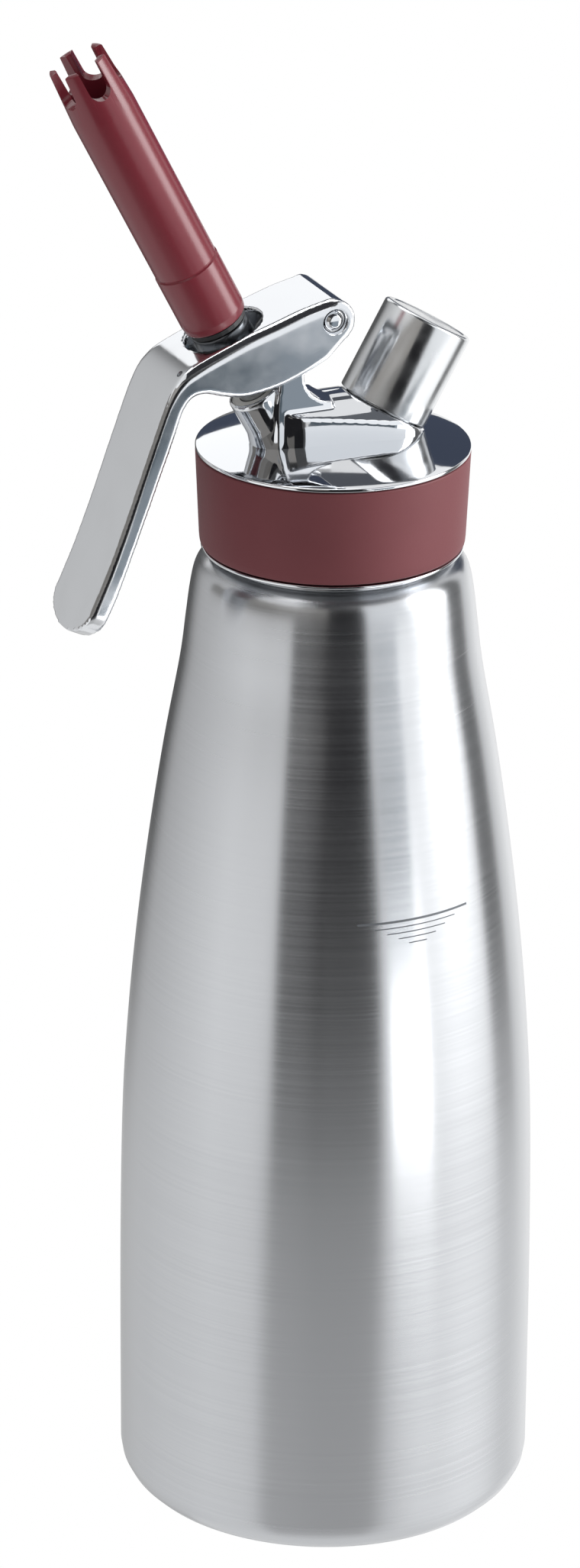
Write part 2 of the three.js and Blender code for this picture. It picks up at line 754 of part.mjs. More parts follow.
const sealBottom = plugTop + fitGap;
const linerTop = capCeiling - fitGap;
const pinLength = leverWidth - fitGap;
dispenser.add(
  piece('bottle', makeBottle(), brushedSteel),
  piece('head_shell', makeHeadShell(), polishedSteel),
  piece('grip_band', makeGripBand(), redSilicone),
  piece(
    'head_gasket',
    ring(gasketInnerRadius, neckRadius, neckTop + fitGap, ceiling - fitGap, largeSides),
    redSilicone,
  ),
  piece('lever', makeLever(), polishedSteel),
  piece('pivot_pin', crossRod(pinRadius, pinLength, pivotX, pivotZ), plainSteel),
);
valveGroup.add(
  piece('valve_stem', makeStem(), plainSteel),
  piece('valve_o_ring', makeOring(), blackRubber),
  piece('valve_guide', makeGuide(), whitePlastic),
  piece(
    'valve_seal',
    ring(stemWaistRadius + fitGap, plugRadius + fitGap, sealBottom, sealBottom + sealThickness),
    clearSilicone,
  ),
  piece('valve_cage', makeCage(), plainSteel),
  piece(
    'valve_spring',
    coilSpring(springRadius, springWire, cageEnd + cageFloor + fitGap, plugBottom - fitGap, springTurns),
    springSteel,
  ),
  piece('nozzle_adapter', makeAdapter(), plainSteel),
  piece(
    'nozzle_seal',
    ring(
      adapterThreadRadius + fitGap,
      adapterFlangeRadius,
      adapterFlangeTop + fitGap,
      adapterFlangeTop + fitGap + nozzleSealThickness,
    ),
    blackRubber,
  ),
  piece(
    'nozzle_insert',
    ring(
      insertInnerRadius,
      insertRadius,
      nozzleBottom + fitGap,
      nozzleBottom + nozzleSocketDepth - fitGap,
    ),
    plainSteel,
  ),
  piece('decorator_nozzle', makeNozzle(), redPlastic),
);
chargerGroup.add(
  piece('protective_cap', makeProtectiveCap(), polishedSteel),
  piece(
    'cap_liner',
    rod(capRadius - capWall - fitGap, linerTop - linerThickness, linerTop),
    blackRubber,
  ),
  piece('piercing_pin', makePiercingPin(), plainSteel),
  piece(
    'charger_seal',
    ring(
      chargerSealHole,
      nippleBoreRadius - fitGap,
      pinFlangeTop + fitGap,
      pinFlangeTop + fitGap + chargerSealThickness,
    ),
    blackRubber,
  ),
  piece('check_valve_disc', makeCheckDisc(), blackRubber),
  piece(
    'check_valve_spring',
    coilSpring(
      checkSpringRadius,
      checkSpringWire,
      chamberFloor + fitGap,
      discBottom - fitGap,
      checkSpringTurns,
    ),
    springSteel,
  ),
);
dispenser.add(valveGroup, chargerGroup);

export default dispenser;
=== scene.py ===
# %% [markdown]
# # A whipped cream dispenser, dressed in Blender
#
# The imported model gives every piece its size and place. This lesson rebuilds the pieces
# that show with fine, rounded surfaces, gives each a procedural finish, and sets up a small
# white studio. A polished metal head is mostly a picture of the room around it, so the
# studio matters as much as the steel.

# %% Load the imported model
import math

import bpy
from mathutils import Matrix, Vector


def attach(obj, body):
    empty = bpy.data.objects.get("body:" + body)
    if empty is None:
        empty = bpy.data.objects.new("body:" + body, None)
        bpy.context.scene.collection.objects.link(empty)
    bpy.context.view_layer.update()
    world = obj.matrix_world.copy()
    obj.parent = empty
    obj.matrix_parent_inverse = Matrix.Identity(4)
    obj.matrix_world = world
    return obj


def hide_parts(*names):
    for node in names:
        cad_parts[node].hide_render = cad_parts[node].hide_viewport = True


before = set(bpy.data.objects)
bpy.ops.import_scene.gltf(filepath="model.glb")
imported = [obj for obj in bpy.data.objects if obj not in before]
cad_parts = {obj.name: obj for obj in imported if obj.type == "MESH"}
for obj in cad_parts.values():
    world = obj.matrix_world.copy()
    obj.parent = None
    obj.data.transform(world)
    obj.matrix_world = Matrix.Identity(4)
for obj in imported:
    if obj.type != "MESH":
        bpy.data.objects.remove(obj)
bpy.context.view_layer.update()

# %% [markdown]
# ## Units and axes
#
# The product's sizes are written in millimetres, as on a drawing, and one constant turns
# them to metres. Only the studio is laid out in metres. Four axes carry everything: the
# bottle stands upright, the valve leans towards the handle, the charger port leans away
# from it, and the pivot pin lies across.

# %% Axes that the pieces turn about
MM = 0.001
PIVOT_X, PIVOT_Z = -4.5, 288.8
VALVE_X, VALVE_Z, VALVE_LEAN = -27.5, 287.1, -27.5
CHARGER_X, CHARGER_Z, CHARGER_LEAN = 12, 264, 29.8


class Axis:
    """A line with a direction along it and a direction that points away from it."""

    def __init__(self, origin, along, outward):
        self.origin = Vector(origin) * MM
        self.along = Vector(along)
        self.outward = Vector(outward)

    def point(self, radius, height):
        return self.origin + (self.outward * radius + self.along * height) * MM


def leaning(x, z, degrees):
    tilt = math.radians(degrees)
    sine, cosine = math.sin(tilt), math.cos(tilt)
    return Axis((x, 0, z), (sine, 0, cosine), (cosine, 0, -sine))


upright = leaning(0, 0, 0)
valve_axis = leaning(VALVE_X, VALVE_Z, VALVE_LEAN)
charger_axis = leaning(CHARGER_X, CHARGER_Z, CHARGER_LEAN)
pin_axis = Axis((PIVOT_X, 0, PIVOT_Z), (0, 1, 0), (1, 0, 0))
print("valve leans along", tuple(round(value, 3) for value in valve_axis.along))

# %% [markdown]
# ## Drawing outlines
#
# Turned and stamped parts start as an outline. Corners on a real part are never perfectly
# sharp, so each corner carries its own rounding, and a small function swaps the corner for
# an arc. Long flowing edges are drawn as a smooth line through a few measured points.

# %% Rounded corners and smooth lines
ARC_STEPS = 5


def rounded(corners):
    """Turns (x, y, rounding) corners into points, with an arc at each rounded corner."""
    points = []
    for index, (x, y, rounding) in enumerate(corners):
        here = Vector((x, y))
        if rounding == 0 or index in (0, len(corners) - 1):
            points.append(here)
            continue
        before = (Vector(corners[index - 1][:2]) - here).normalized()
        after = (Vector(corners[index + 1][:2]) - here).normalized()
        half = before.angle(after) / 2
        centre = here + (before + after).normalized() * (rounding / math.sin(half))
        start = here + before * (rounding / math.tan(half)) - centre
        end = here + after * (rounding / math.tan(half)) - centre
        turn = math.atan2(start.cross(end), start.dot(end))
        for step in range(ARC_STEPS + 1):
            points.append(centre + Matrix.Rotation(turn * step / ARC_STEPS, 2) @ start)
    return points


def smooth_line(points, pieces):
    """A smooth line through points, cut into equal shares of its run."""
    knots = [Vector(point) for point in points]
    spans = len(knots) - 1
    line = []
    for step in range(pieces + 1):
        place = spans * step / pieces
        index = min(int(place), spans - 1)
        t = place - index
        p1, p2 = knots[index], knots[index + 1]
        p0, p3 = knots[max(index - 1, 0)], knots[min(index + 2, spans)]
        v0, v1 = (p2 - p0) / 2, (p3 - p1) / 2
        line.append(
            (2 * p1 - 2 * p2 + v0 + v1) * t**3
            + (-3 * p1 + 3 * p2 - 2 * v0 - v1) * t**2
            + v0 * t
            + p1
        )
    return line


def with_corners(points):
    return [(point.x, point.y, 0) for point in points]


print("an outline corner becomes", ARC_STEPS + 1, "points")

# %% [markdown]
# ## Three ways to make a body
#
# Most of this product is turned on a lathe, so its pieces come from one outline and the
# Spin operator. The lever and its post are plates seen from the side, so those outlines are
# filled and drawn out along Y. Drilled holes and joined castings use Boolean modifiers. The
# outline itself is drawn as by hand: a plane merged to one vertex, extruded point by point.

# %% Selecting and drawing an outline
WELD = 0.002 * MM


def deselect_all():
    if bpy.context.object and bpy.context.object.mode != "OBJECT":
        bpy.ops.object.mode_set(mode="OBJECT")
    bpy.ops.object.select_all(action="DESELECT")


def select_only(piece):
    deselect_all()
    piece.select_set(True)
    bpy.context.view_layer.objects.active = piece


def draw_outline(name, points):
    """Extrudes one vertex through all the points, and stays in edit mode."""
    deselect_all()
    bpy.context.tool_settings.mesh_select_mode = (True, False, False)
    bpy.ops.mesh.primitive_plane_add(size=MM, location=points[0])
    piece = bpy.context.object
    piece.name = piece.data.name = name
    bpy.ops.object.mode_set(mode="EDIT")
    bpy.ops.mesh.select_all(action="SELECT")
    bpy.ops.mesh.merge(type="CENTER")
    for start, end in zip(points, points[1:]):
        bpy.ops.mesh.extrude_vertices_move(TRANSFORM_OT_translate={"value": end - start})
    return piece


def weld():
    bpy.ops.mesh.select_all(action="SELECT")
    bpy.ops.mesh.remove_doubles(threshold=WELD)


def fill_outline(name, ring):
    """A flat face inside a ring of points, with all of it selected in edit mode."""
    piece = draw_outline(name, ring + ring[:1])
    weld()
    bpy.ops.mesh.select_all(action="SELECT")
    bpy.ops.mesh.edge_face_add()
    return piece


def close_up(piece):
    """Welds doubles, points the faces outwards and puts the object's place in its mesh."""
    weld()
    bpy.ops.mesh.normals_make_consistent(inside=False)
    select_only(piece)
    bpy.ops.object.transform_apply(location=True, rotation=True, scale=True)
    return piece


print("outlines weld within", WELD, "m")

# %% Turned bodies and slabs
USUAL_SIDES = 96


def spin_about(axis, degrees, steps):
    bpy.ops.mesh.select_all(action="SELECT")
    bpy.ops.mesh.spin(
        steps=steps, angle=math.radians(degrees), center=axis.origin, axis=axis.along
    )


def turned(name, axis, corners, sides=USUAL_SIDES):
    """A body of revolution from (radius, height, rounding) corners in millimetres."""
    piece = draw_outline(name, [axis.point(*point) for point in rounded(corners)])
    spin_about(axis, 360, sides)
    return close_up(piece)


def rod(name, axis, radius, low, high, sides=USUAL_SIDES):
    """A plain round rod between two heights, which is used up to cut or join a piece."""
    corners = [(0, low, 0), (radius, low, 0), (radius, high, 0), (0, high, 0)]
    return turned(name, axis, corners, sides)


def seen_from_front(x, y, z):
    return Vector((x, z, y)) * MM


def slab(name, points, width, place=seen_from_front):
    """A flat outline, filled and drawn out to both sides of the middle plane."""
    piece = fill_outline(name, [place(point.x, point.y, -width / 2) for point in points])
    depth = place(0, 0, width) - place(0, 0, 0)
    bpy.ops.mesh.extrude_region_move(TRANSFORM_OT_translate={"value": depth})
    return close_up(piece)


print("a turned body has", USUAL_SIDES, "sides unless it says otherwise")

# %% Modifiers, joining and cutting


def apply_modifier(piece, kind, **settings):
    select_only(piece)
    bpy.ops.object.modifier_add(type=kind)
    modifier = piece.modifiers[-1]
    for key, value in settings.items():
        setattr(modifier, key, value)
    bpy.ops.object.modifier_apply(modifier=modifier.name)


def combine(piece, others, operation):
    """Cuts, joins or intersects a piece with others, which are used up."""
    for other in others:
        apply_modifier(
            piece, "BOOLEAN", operation=operation, object=other, solver="EXACT"
        )
        bpy.data.objects.remove(other)
    return piece


print("Boolean helpers are ready")

# %% [markdown]
# ## Colours and nodes
#
# Colours are noted as the hex values a colour picker shows. Blender's shaders work in linear
# light, so one function converts them. One more function adds a node with its settings and
# links, which keeps each finish short enough to read in one go.

# %% Hex colours and the node helper


def linear(hex_code):
    """The opaque colour in linear light that a hex code stands for."""
    values = [int(hex_code[index:index + 2], 16) / 255 for index in (1, 3, 5)]
    return tuple(
        value / 12.92 if value <= 0.04045 else ((value + 0.055) / 1.055) ** 2.4
        for value in values
    ) + (1.0,)


def link(owner, source, target):
    owner.node_tree.links.new(source, target)


def set_inputs(owner, node, **inputs):
    """Fills or links a node's inputs, with an underscore for a space in a name."""
    for key, value in inputs.items():
        socket = node.inputs[key.replace("_", " ")]
        if isinstance(value, bpy.types.NodeSocket):
            link(owner, value, socket)
        else:
            socket.default_value = value
    return node


def add_node(owner, kind, settings=None, **inputs):
    """Adds a node to a material or the world, with its own options and its inputs."""
    node = owner.node_tree.nodes.new(kind)
    for key, value in (settings or {}).items():
        setattr(node, key, value)
    return set_inputs(owner, node, **inputs)


def find_node(owner, kind):
    return next(node for node in owner.node_tree.nodes if node.type == kind)


def new_material(name):
    """A material and its shader, which is found by its kind."""
    material = bpy.data.materials.new(name)
    material.use_nodes = True
    return material, find_node(material, "BSDF_PRINCIPLED")


def stretched_coordinates(material, scale):
    """Object coordinates in metres, scaled so that one unit is one grain of the pattern."""
    place = add_node(material, "ShaderNodeTexCoord")
    mapped = add_node(
        material, "ShaderNodeMapping", Vector=place.outputs["Object"], Scale=scale
    )
    return mapped.outputs["Vector"]


def roughen(material, pattern, low, high, strength, depth, **limits):
    """Lets one pattern move the roughness from low to high and raise bumps of a depth."""
    rough = add_node(
        material, "ShaderNodeMapRange", Value=pattern, To_Min=low, To_Max=high, **limits
    )
    bump = add_node(
        material, "ShaderNodeBump", Height=pattern, Strength=strength, Distance=depth * MM
    )
    return rough.outputs["Result"], bump.outputs["Normal"]


print("silver grey in linear light:", [round(v, 3) for v in linear("#c9cbcd")[:3]])

# %% [markdown]
# ## Brushed stainless steel for the bottle
#
# The bottle is deep-drawn 18/10 stainless steel, spun against an abrasive belt. The belt
# leaves fine rings of scratches round the body. Seen from a step away they blur every
# reflection up and down, so bright and dark bands run the height of the bottle. The scratches
# are about 0.1 mm apart, too fine to show at this size, so they are drawn at about 0.5 mm.

# %% Brushed stainless steel
SCRATCH_SPACING, TURNING_SPACING = 0.5, 0.3
SCRATCHES_ROUND = 12
CLOUDS = (14, 14, 9)
CLOUD_SPREAD, GRAIN_SPREAD = 0.03, 0.05


def brushed_stainless(name, base, scratched, roughness, spacing, depth):
    """Steel with rings of scratches, a spacing apart and a depth deep in millimetres."""
    material, shader = new_material(name)
    rings = (SCRATCHES_ROUND, SCRATCHES_ROUND, 1 / (spacing * MM))
    grain = add_node(
        material, "ShaderNodeTexNoise", Scale=1, Detail=3, Roughness=0.6,
        Vector=stretched_coordinates(material, rings),
    ).outputs["Fac"]
    cloud = add_node(
        material, "ShaderNodeTexNoise", Scale=1, Detail=2,
        Vector=stretched_coordinates(material, CLOUDS),
    ).outputs["Fac"]
    tone, normal = roughen(
        material, grain, roughness - GRAIN_SPREAD, roughness + GRAIN_SPREAD,
        strength=0.08, depth=depth,
    )
    tint = add_node(
        material, "ShaderNodeMapRange", Value=cloud, To_Min=-CLOUD_SPREAD, To_Max=CLOUD_SPREAD
    )
    rough = add_node(material, "ShaderNodeMath", {"operation": "ADD"})
    link(material, tone, rough.inputs[0])
    link(material, tint.outputs["Result"], rough.inputs[1])
    round_axis = add_node(
        material, "ShaderNodeTangent", {"direction_type": "RADIAL", "axis": "Z"}
    )
    streak = add_node(
        material, "ShaderNodeMapRange", Value=grain, From_Min=0.3, From_Max=0.7
    )
    sheen = add_node(material, "ShaderNodeMix", {"data_type": "RGBA"})
    sheen.inputs[6].default_value = linear(scratched)
    sheen.inputs[7].default_value = linear(base)
    link(material, streak.outputs["Result"], sheen.inputs[0])
    set_inputs(
        material, shader, Base_Color=sheen.outputs[2], Metallic=1, Anisotropic=0.8,
        Anisotropic_Rotation=0.25, Tangent=round_axis.outputs["Tangent"],
        Roughness=rough.outputs["Value"], Normal=normal,
    )
    return material


bottle_steel = brushed_stainless(
    "brushed_18_10_steel", "#c3c5c8", "#bfc1c4", 0.25, SCRATCH_SPACING, 0.02
)
turned_steel = brushed_stainless(
    "turned_steel", "#b5b8bb", "#aeb0b4", 0.26, TURNING_SPACING, 0.01
)
print("made", bottle_steel.name, "and", turned_steel.name)

# %% [markdown]
# ## Mirror-polished steel for the head, lever and cap
#
# The head is a casting that is ground and buffed until it is a mirror. Buffing leaves only a
# very slight waviness and a few smears, so the roughness stays near zero and a weak, wide
# noise moves it a little. Without that a mirror looks computed. The lever and the cap are
# buffed less finely and blur what they show. The adapter is steel made dark grey, which is
# painted shade for the dark gap it sits in under the nozzle.

# %% Polished steel
SMEAR_SIZE, WAVE_DEPTH = 9, 0.2
CLEAN_SHARE, SMEARED_SHARE = 0.6, 1.5


def polished(name, base, roughness):
    material, shader = new_material(name)
    smear = add_node(
        material, "ShaderNodeTexNoise", Scale=1, Detail=3,
        Vector=stretched_coordinates(material, (1 / (SMEAR_SIZE * MM),) * 3),
    ).outputs["Fac"]
    rough, normal = roughen(
        material, smear, roughness * CLEAN_SHARE, roughness * SMEARED_SHARE,
        strength=0.05, depth=WAVE_DEPTH, From_Min=0.3, From_Max=0.75,
    )
    set_inputs(
        material, shader, Base_Color=linear(base), Metallic=1, Roughness=rough, Normal=normal
    )
    return material


head_polish = polished("buffed_steel_head", "#dcdee1", 0.05)
lever_polish = polished("buffed_steel_lever", "#d9dbde", 0.12)
cap_polish = polished("buffed_steel_cap", "#d4d6d8", 0.2)
wire_steel = polished("drawn_spring_wire", "#a9adb1", 0.2)
# The adapter's dark grey is painted shade: it stands for the shadowed gap between the lever's
# hole and the nozzle.
adapter_shade_steel = polished("adapter_steel_painted_shade", "#63666a", 0.3)
print("made", head_polish.name, lever_polish.name, cap_polish.name, wire_steel.name)

# %% [markdown]
# ## Silicone, polypropylene and rubber
#
# The grip band is moulded silicone: matte, a little dusty, and soft in its highlights. The
# nozzle is moulded polypropylene in nearly the same red, but smooth, so it carries one clear
# pale streak. The head gasket is the same silicone as the band, the other seals are rubber
# and clear silicone, and the guide is white acetal.

# %% Moulded materials
MOTTLES = (60, 60, 60)
MOULD_SPREAD = 0.05


def moulded(name, base, roughness, grain_size, depth, mottle, **shader_values):
    """A dyed plastic or rubber with a fine surface grain and slightly uneven colour."""
    material, shader = new_material(name)
    fine = add_node(
        material, "ShaderNodeTexNoise", Scale=1, Detail=2,
        Vector=stretched_coordinates(material, (1 / (grain_size * MM),) * 3),
    ).outputs["Fac"]
    wide = add_node(
        material, "ShaderNodeTexNoise", Scale=1, Detail=3,
        Vector=stretched_coordinates(material, MOTTLES),
    ).outputs["Fac"]
    shade = add_node(material, "ShaderNodeMix", {"data_type": "RGBA"})
    link(material, wide, shade.inputs[0])
    shade.inputs[6].default_value = linear(base)
    shade.inputs[7].default_value = linear(mottle)
    rough, normal = roughen(
        material, fine, roughness - MOULD_SPREAD, roughness + MOULD_SPREAD,
        strength=0.3, depth=depth,
    )
    set_inputs(
        material, shader, Base_Color=shade.outputs[2], Roughness=rough, Normal=normal,
        **shader_values,
    )
    return material


red_silicone = moulded(
    "moulded_red_silicone", "#62282d", 0.6, 0.45, 0.03, "#6b2f35",
    IOR=1.42, Sheen_Weight=0.06, Sheen_Roughness=0.5,
)
red_polypropylene = moulded(
    "moulded_red_polypropylene", "#6b212b", 0.24, 0.8, 0.01, "#732631", IOR=1.49,
)
black_rubber = moulded("nitrile_rubber", "#1b1b1d", 0.6, 0.4, 0.02, "#232326", IOR=1.52)
clear_silicone = moulded("clear_silicone", "#cdc8c0", 0.45, 0.6, 0.01, "#d6d2cb", IOR=1.42)
white_acetal = moulded("white_acetal", "#e4e1da", 0.4, 0.5, 0.01, "#eae8e2", IOR=1.48)
print("made", red_silicone.name, "and", red_polypropylene.name)

# %% Giving a finished piece its look and body, in place of imported parts
SMOOTH_ANGLE = 32


def finish_piece(piece, material, body, replaced=(), angle=SMOOTH_ANGLE):
    """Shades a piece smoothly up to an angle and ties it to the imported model."""
    select_only(piece)
    piece.data.materials.clear()
    piece.data.materials.append(material)
    bpy.ops.object.shade_smooth_by_angle(angle=math.radians(angle))
    piece.select_set(False)
    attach(piece, body)
    if replaced:
        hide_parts(*replaced)
    print(piece.name, "has", len(piece.data.polygons), "faces")


print("faces that meet at less than", SMOOTH_ANGLE, "degrees shade as one")

# %% [markdown]
# ## The bottle
#
# A disc of steel is drawn into a deep cup, its mouth is necked in, and the thread is rolled.
# One outline gives all of it: the recessed floor, the rounded foot, the long tapering side,
# the tight shoulder under the head, the grooved neck, and back down the inside, 1.2 mm in.

# %% Bottle outline
BOTTLE_RADIUS, FOOT_ROUNDING, WALL = 48, 8, 1.2
SHOULDER, NECK_TOP = 231, 250.3
NECK_RADIUS, NECK_BORE = 26, 23.6
SIDE_SHARES = [
    (0.24, 1.0), (0.4, 0.988), (0.5, 0.962), (0.6, 0.919), (0.7, 0.86), (0.8, 0.788),
    (0.887, 0.713), (0.931, 0.686), (0.961, 0.668), (0.983, 0.648), (0.9935, 0.621),
    (1.0, 0.575),
]
SIDE_PIECES = 72
NECK_PITCH, NECK_TURNS = 3.5, 4
GROOVE_DEPTH, GROOVE_WIDTH = 0.8, 2

side = smooth_line(
    [(BOTTLE_RADIUS, FOOT_ROUNDING + 0.5)]
    + [(BOTTLE_RADIUS * radius, SHOULDER * height) for height, radius in SIDE_SHARES],
    SIDE_PIECES,
)
inner_side = [
    point - Vector((WALL, WALL / 2)) for point in side[::3] if point.x - WALL > NECK_BORE
]


def thread_grooves(radius, first, pitch, turns, flank, rounding):
    """Corners of ring grooves that stand for a thread, from the lowest one up."""
    corners = []
    for turn in range(turns):
        foot = first + pitch * turn
        corners += [
            (radius, foot, rounding),
            (radius - GROOVE_DEPTH, foot + flank, rounding),
            (radius - GROOVE_DEPTH, foot + (GROOVE_WIDTH - flank), rounding),
            (radius, foot + GROOVE_WIDTH, rounding),
        ]
    return corners


bottle_outline = (
    [(0, 1.2, 0), (30, 0.9, 4), (34, 0, 1), (BOTTLE_RADIUS, 0, FOOT_ROUNDING)]
    + with_corners(side[:-1])
    + [(NECK_RADIUS, SHOULDER, 0.6)]
    + thread_grooves(
        NECK_RADIUS, SHOULDER + 3, NECK_PITCH, NECK_TURNS, flank=0.7, rounding=0.2
    )
    + [(NECK_RADIUS, NECK_TOP, 0.5), (NECK_BORE, NECK_TOP, 0.5)]
    + [(NECK_BORE, SHOULDER - WALL, 0)]
    + with_corners(inner_side[::-1])
    + [(BOTTLE_RADIUS - WALL, 2, FOOT_ROUNDING - WALL), (0, 2, 0)]
)
print("the bottle's outline has", len(bottle_outline), "corners")

# %% Turn the bottle
bottle = turned("bottle_body", upright, bottle_outline, sides=192)
finish_piece(bottle, bottle_steel, "bottle", ["bottle"])

# %% [markdown]
# ## The fill mark
#
# On the real bottle a fill level is etched into the steel with short waves under it. It is
# flat, but etching darkens the metal. Here each stroke is a bar 0.35 mm deep of which 0.05 mm
# stands proud, spun part of the way round at the bottle's own radius.

# %% Etched fill mark
MARK_HEIGHT, MARK_MIDDLE = 157.5, 273.9
PROUD, SUNK = 0.05, 0.3
STEPS_PER_DEGREE = 1.5
STROKES = [
    (0, 19.4, 0.5), (-1.4, 14, 0.22), (-2.7, 10, 0.22), (-4, 6.4, 0.22), (-5.3, 3, 0.22),
]


def side_radius(height):
    """The bottle's radius at a height, read off its side line."""
    for low, high in zip(side, side[1:]):
        if low.y <= height <= high.y:
            return low.x + (high.x - low.x) * (height - low.y) / (high.y - low.y)
    return NECK_RADIUS


def stroke(drop, half_turn, thickness):
    low, high = MARK_HEIGHT + drop - thickness / 2, MARK_HEIGHT + drop + thickness / 2
    corners = [
        (side_radius(low) + PROUD, low), (side_radius(high) + PROUD, high),
        (side_radius(high) - SUNK, high), (side_radius(low) - SUNK, low),
    ]
    start = math.radians(MARK_MIDDLE + half_turn)
    toward = Axis((0, 0, 0), (0, 0, 1), (math.cos(start), math.sin(start), 0))
    bar = fill_outline("stroke", [toward.point(*corner) for corner in corners])
    spin_about(upright, 2 * half_turn, int(half_turn * STEPS_PER_DEGREE) + 2)
    return close_up(bar)


def join(name, pieces):
    """Makes one object of several, each still a closed body of its own."""
    deselect_all()
    for piece in pieces:
        piece.select_set(True)
    bpy.context.view_layer.objects.active = pieces[0]
    bpy.ops.object.join()
    pieces[0].name = pieces[0].data.name = name
    return pieces[0]


etched_steel = moulded("etched_steel", "#55585c", 0.55, 0.3, 0.01, "#6a6d71", Metallic=0.5)
fill_mark = join("fill_mark", [stroke(*values) for values in STROKES])
finish_piece(fill_mark, etched_steel, "bottle")

# %% [markdown]
# ## The round head
#
# The head screws over the neck. Its skirt, lip, rim and shallow dome are turned in one
# piece, so they are spun from one outline. The lip holds the band's foot and the rim its
# top. The rim is buffed to a crisp edge, which catches one thin bright line all round.

# %% Round head
SKIRT_RADIUS, SKIRT_BORE, SKIRT_BOTTOM = 28.2, 26.3, 232.8
LIP_RADIUS, LIP_TOP = 29.5, 233.5
RIM_RADIUS, RIM_BOTTOM, RIM_TOP = 30.8, 256, 256.9
DOME_TOP, DOME_SHEET, DOME_FLAT, DOME_STEPS = 259.8, 2, 9, 16
CEILING, CEILING_BORE = 253.9, 21


def dome_line():
    """A parabola from the rim to the flat middle, level where it meets the middle."""
    start = Vector((RIM_RADIUS - 0.5, RIM_TOP))
    bend = Vector(((RIM_RADIUS + DOME_FLAT) / 2, DOME_TOP))
    end = Vector((DOME_FLAT, DOME_TOP))
    line = []
    for step in range(1, DOME_STEPS + 1):
        t = step / DOME_STEPS
        line.append(start * (1 - t) ** 2 + bend * (2 * t * (1 - t)) + end * t**2)
    return line


head_outline = (
    [
        (0, DOME_TOP - DOME_SHEET, 0), (DOME_FLAT, DOME_TOP - DOME_SHEET, 4),
        (CEILING_BORE, CEILING, 0.6), (SKIRT_BORE, CEILING, 0.3),
        (SKIRT_BORE, SKIRT_BOTTOM, 0.3), (LIP_RADIUS, SKIRT_BOTTOM, 0.3),
        (LIP_RADIUS, LIP_TOP, 0.25), (SKIRT_RADIUS, LIP_TOP, 0.1),
        (SKIRT_RADIUS, RIM_BOTTOM, 0.1), (RIM_RADIUS, RIM_BOTTOM, 0.2),
        (RIM_RADIUS, RIM_TOP - 0.15, 0.35),
    ]
    + with_corners(dome_line())
    + [(0, DOME_TOP, 0)]
)
head_round = turned("head_round", upright, head_outline, sides=192)
print("dome rises", round(DOME_TOP - RIM_TOP, 1), "mm above the rim")

# %% [markdown]
# ## The cast saddle, post and valve boss
#
# One casting carries the lever post, the valve boss and the charger port. Castings have no
# sharp inner corners: the metal flows from one form into the next. So the forms are joined
# with Booleans, remeshed in small cells and smoothed, which rounds every edge and fills every
# inner corner a little, as grinding and buffing do.

# %% Saddle with a crowned top
CASTING_FLOOR = DOME_TOP - DOME_SHEET
SADDLE_TOP, SADDLE_CROWN, CROWN_REACH = 269, 14, 40
SADDLE_LEFT, SADDLE_RIGHT = (-9.5, 8.2), (10.5, 11)
OVERRUN = 6


def arc(centre, radius, start, end, steps=14):
    """Points of an arc between two angles in degrees."""
    angles = [math.radians(start + (end - start) * step / steps) for step in range(steps + 1)]
    return [
        Vector((centre[0] + radius * math.cos(a), centre[1] + radius * math.sin(a)))
        for a in angles
    ]


def saddle_plan():
    """Two round ends of different size, joined by straight sides that touch both."""
    (left_x, left_radius), (right_x, right_radius) = SADDLE_LEFT, SADDLE_RIGHT
    lean = math.degrees(math.asin((right_radius - left_radius) / (right_x - left_x)))
    return arc((right_x, 0), right_radius, -90 - lean, 90 + lean, 28) + arc(
        (left_x, 0), left_radius, 90 + lean, 270 - lean, 22
    )


def seen_from_above(x, y, z):
    middle = (CASTING_FLOOR + SADDLE_TOP) / 2
    return Vector((x, y, z + middle)) * MM


saddle = slab("saddle", saddle_plan(), SADDLE_TOP - CASTING_FLOOR, seen_from_above)
crown_axis = Axis((0, 0, SADDLE_TOP - SADDLE_CROWN), (1, 0, 0), (0, 0, 1))
crown = rod("crown", crown_axis, SADDLE_CROWN, -CROWN_REACH, CROWN_REACH, sides=144)
combine(saddle, [crown], "INTERSECT")
print("saddle spans", [round(value / MM, 1) for value in saddle.dimensions], "mm")

# %% Lever post
POST_WIDTH, POST_EYE = 13, 3.2
POST_FACE, POST_FILLET = -10, 7
POST_FOOT, POST_SHOULDER = (-16.5, SADDLE_TOP), (-15.6, 279.5)
post_outline = (
    [Vector((x, CASTING_FLOOR)) for x in (POST_FOOT[0], POST_FACE + POST_FILLET)]
    + arc((POST_FACE + POST_FILLET, SADDLE_TOP + POST_FILLET), POST_FILLET, 270, 180)
    + arc((PIVOT_X, PIVOT_Z), POST_EYE, -45, 135, 18)
    + [Vector(POST_SHOULDER), Vector(POST_FOOT)]
)
post = slab("post", post_outline, POST_WIDTH)
print("post is", round(post.dimensions.z / MM, 1), "mm high")

# %% Valve boss and charger boss
BOSS_TOP, BOSS_FOOT, BOSS_RADIUS, BOSS_FLARE = -17.4, -36, 5.8, 0.3
CAP_RADIUS, CAP_WALL, CAP_SEAT = 10.5, 1.7, -0.3
PORT_BOSS_RADIUS, PORT_BOSS_DEPTH = 10.2, 8

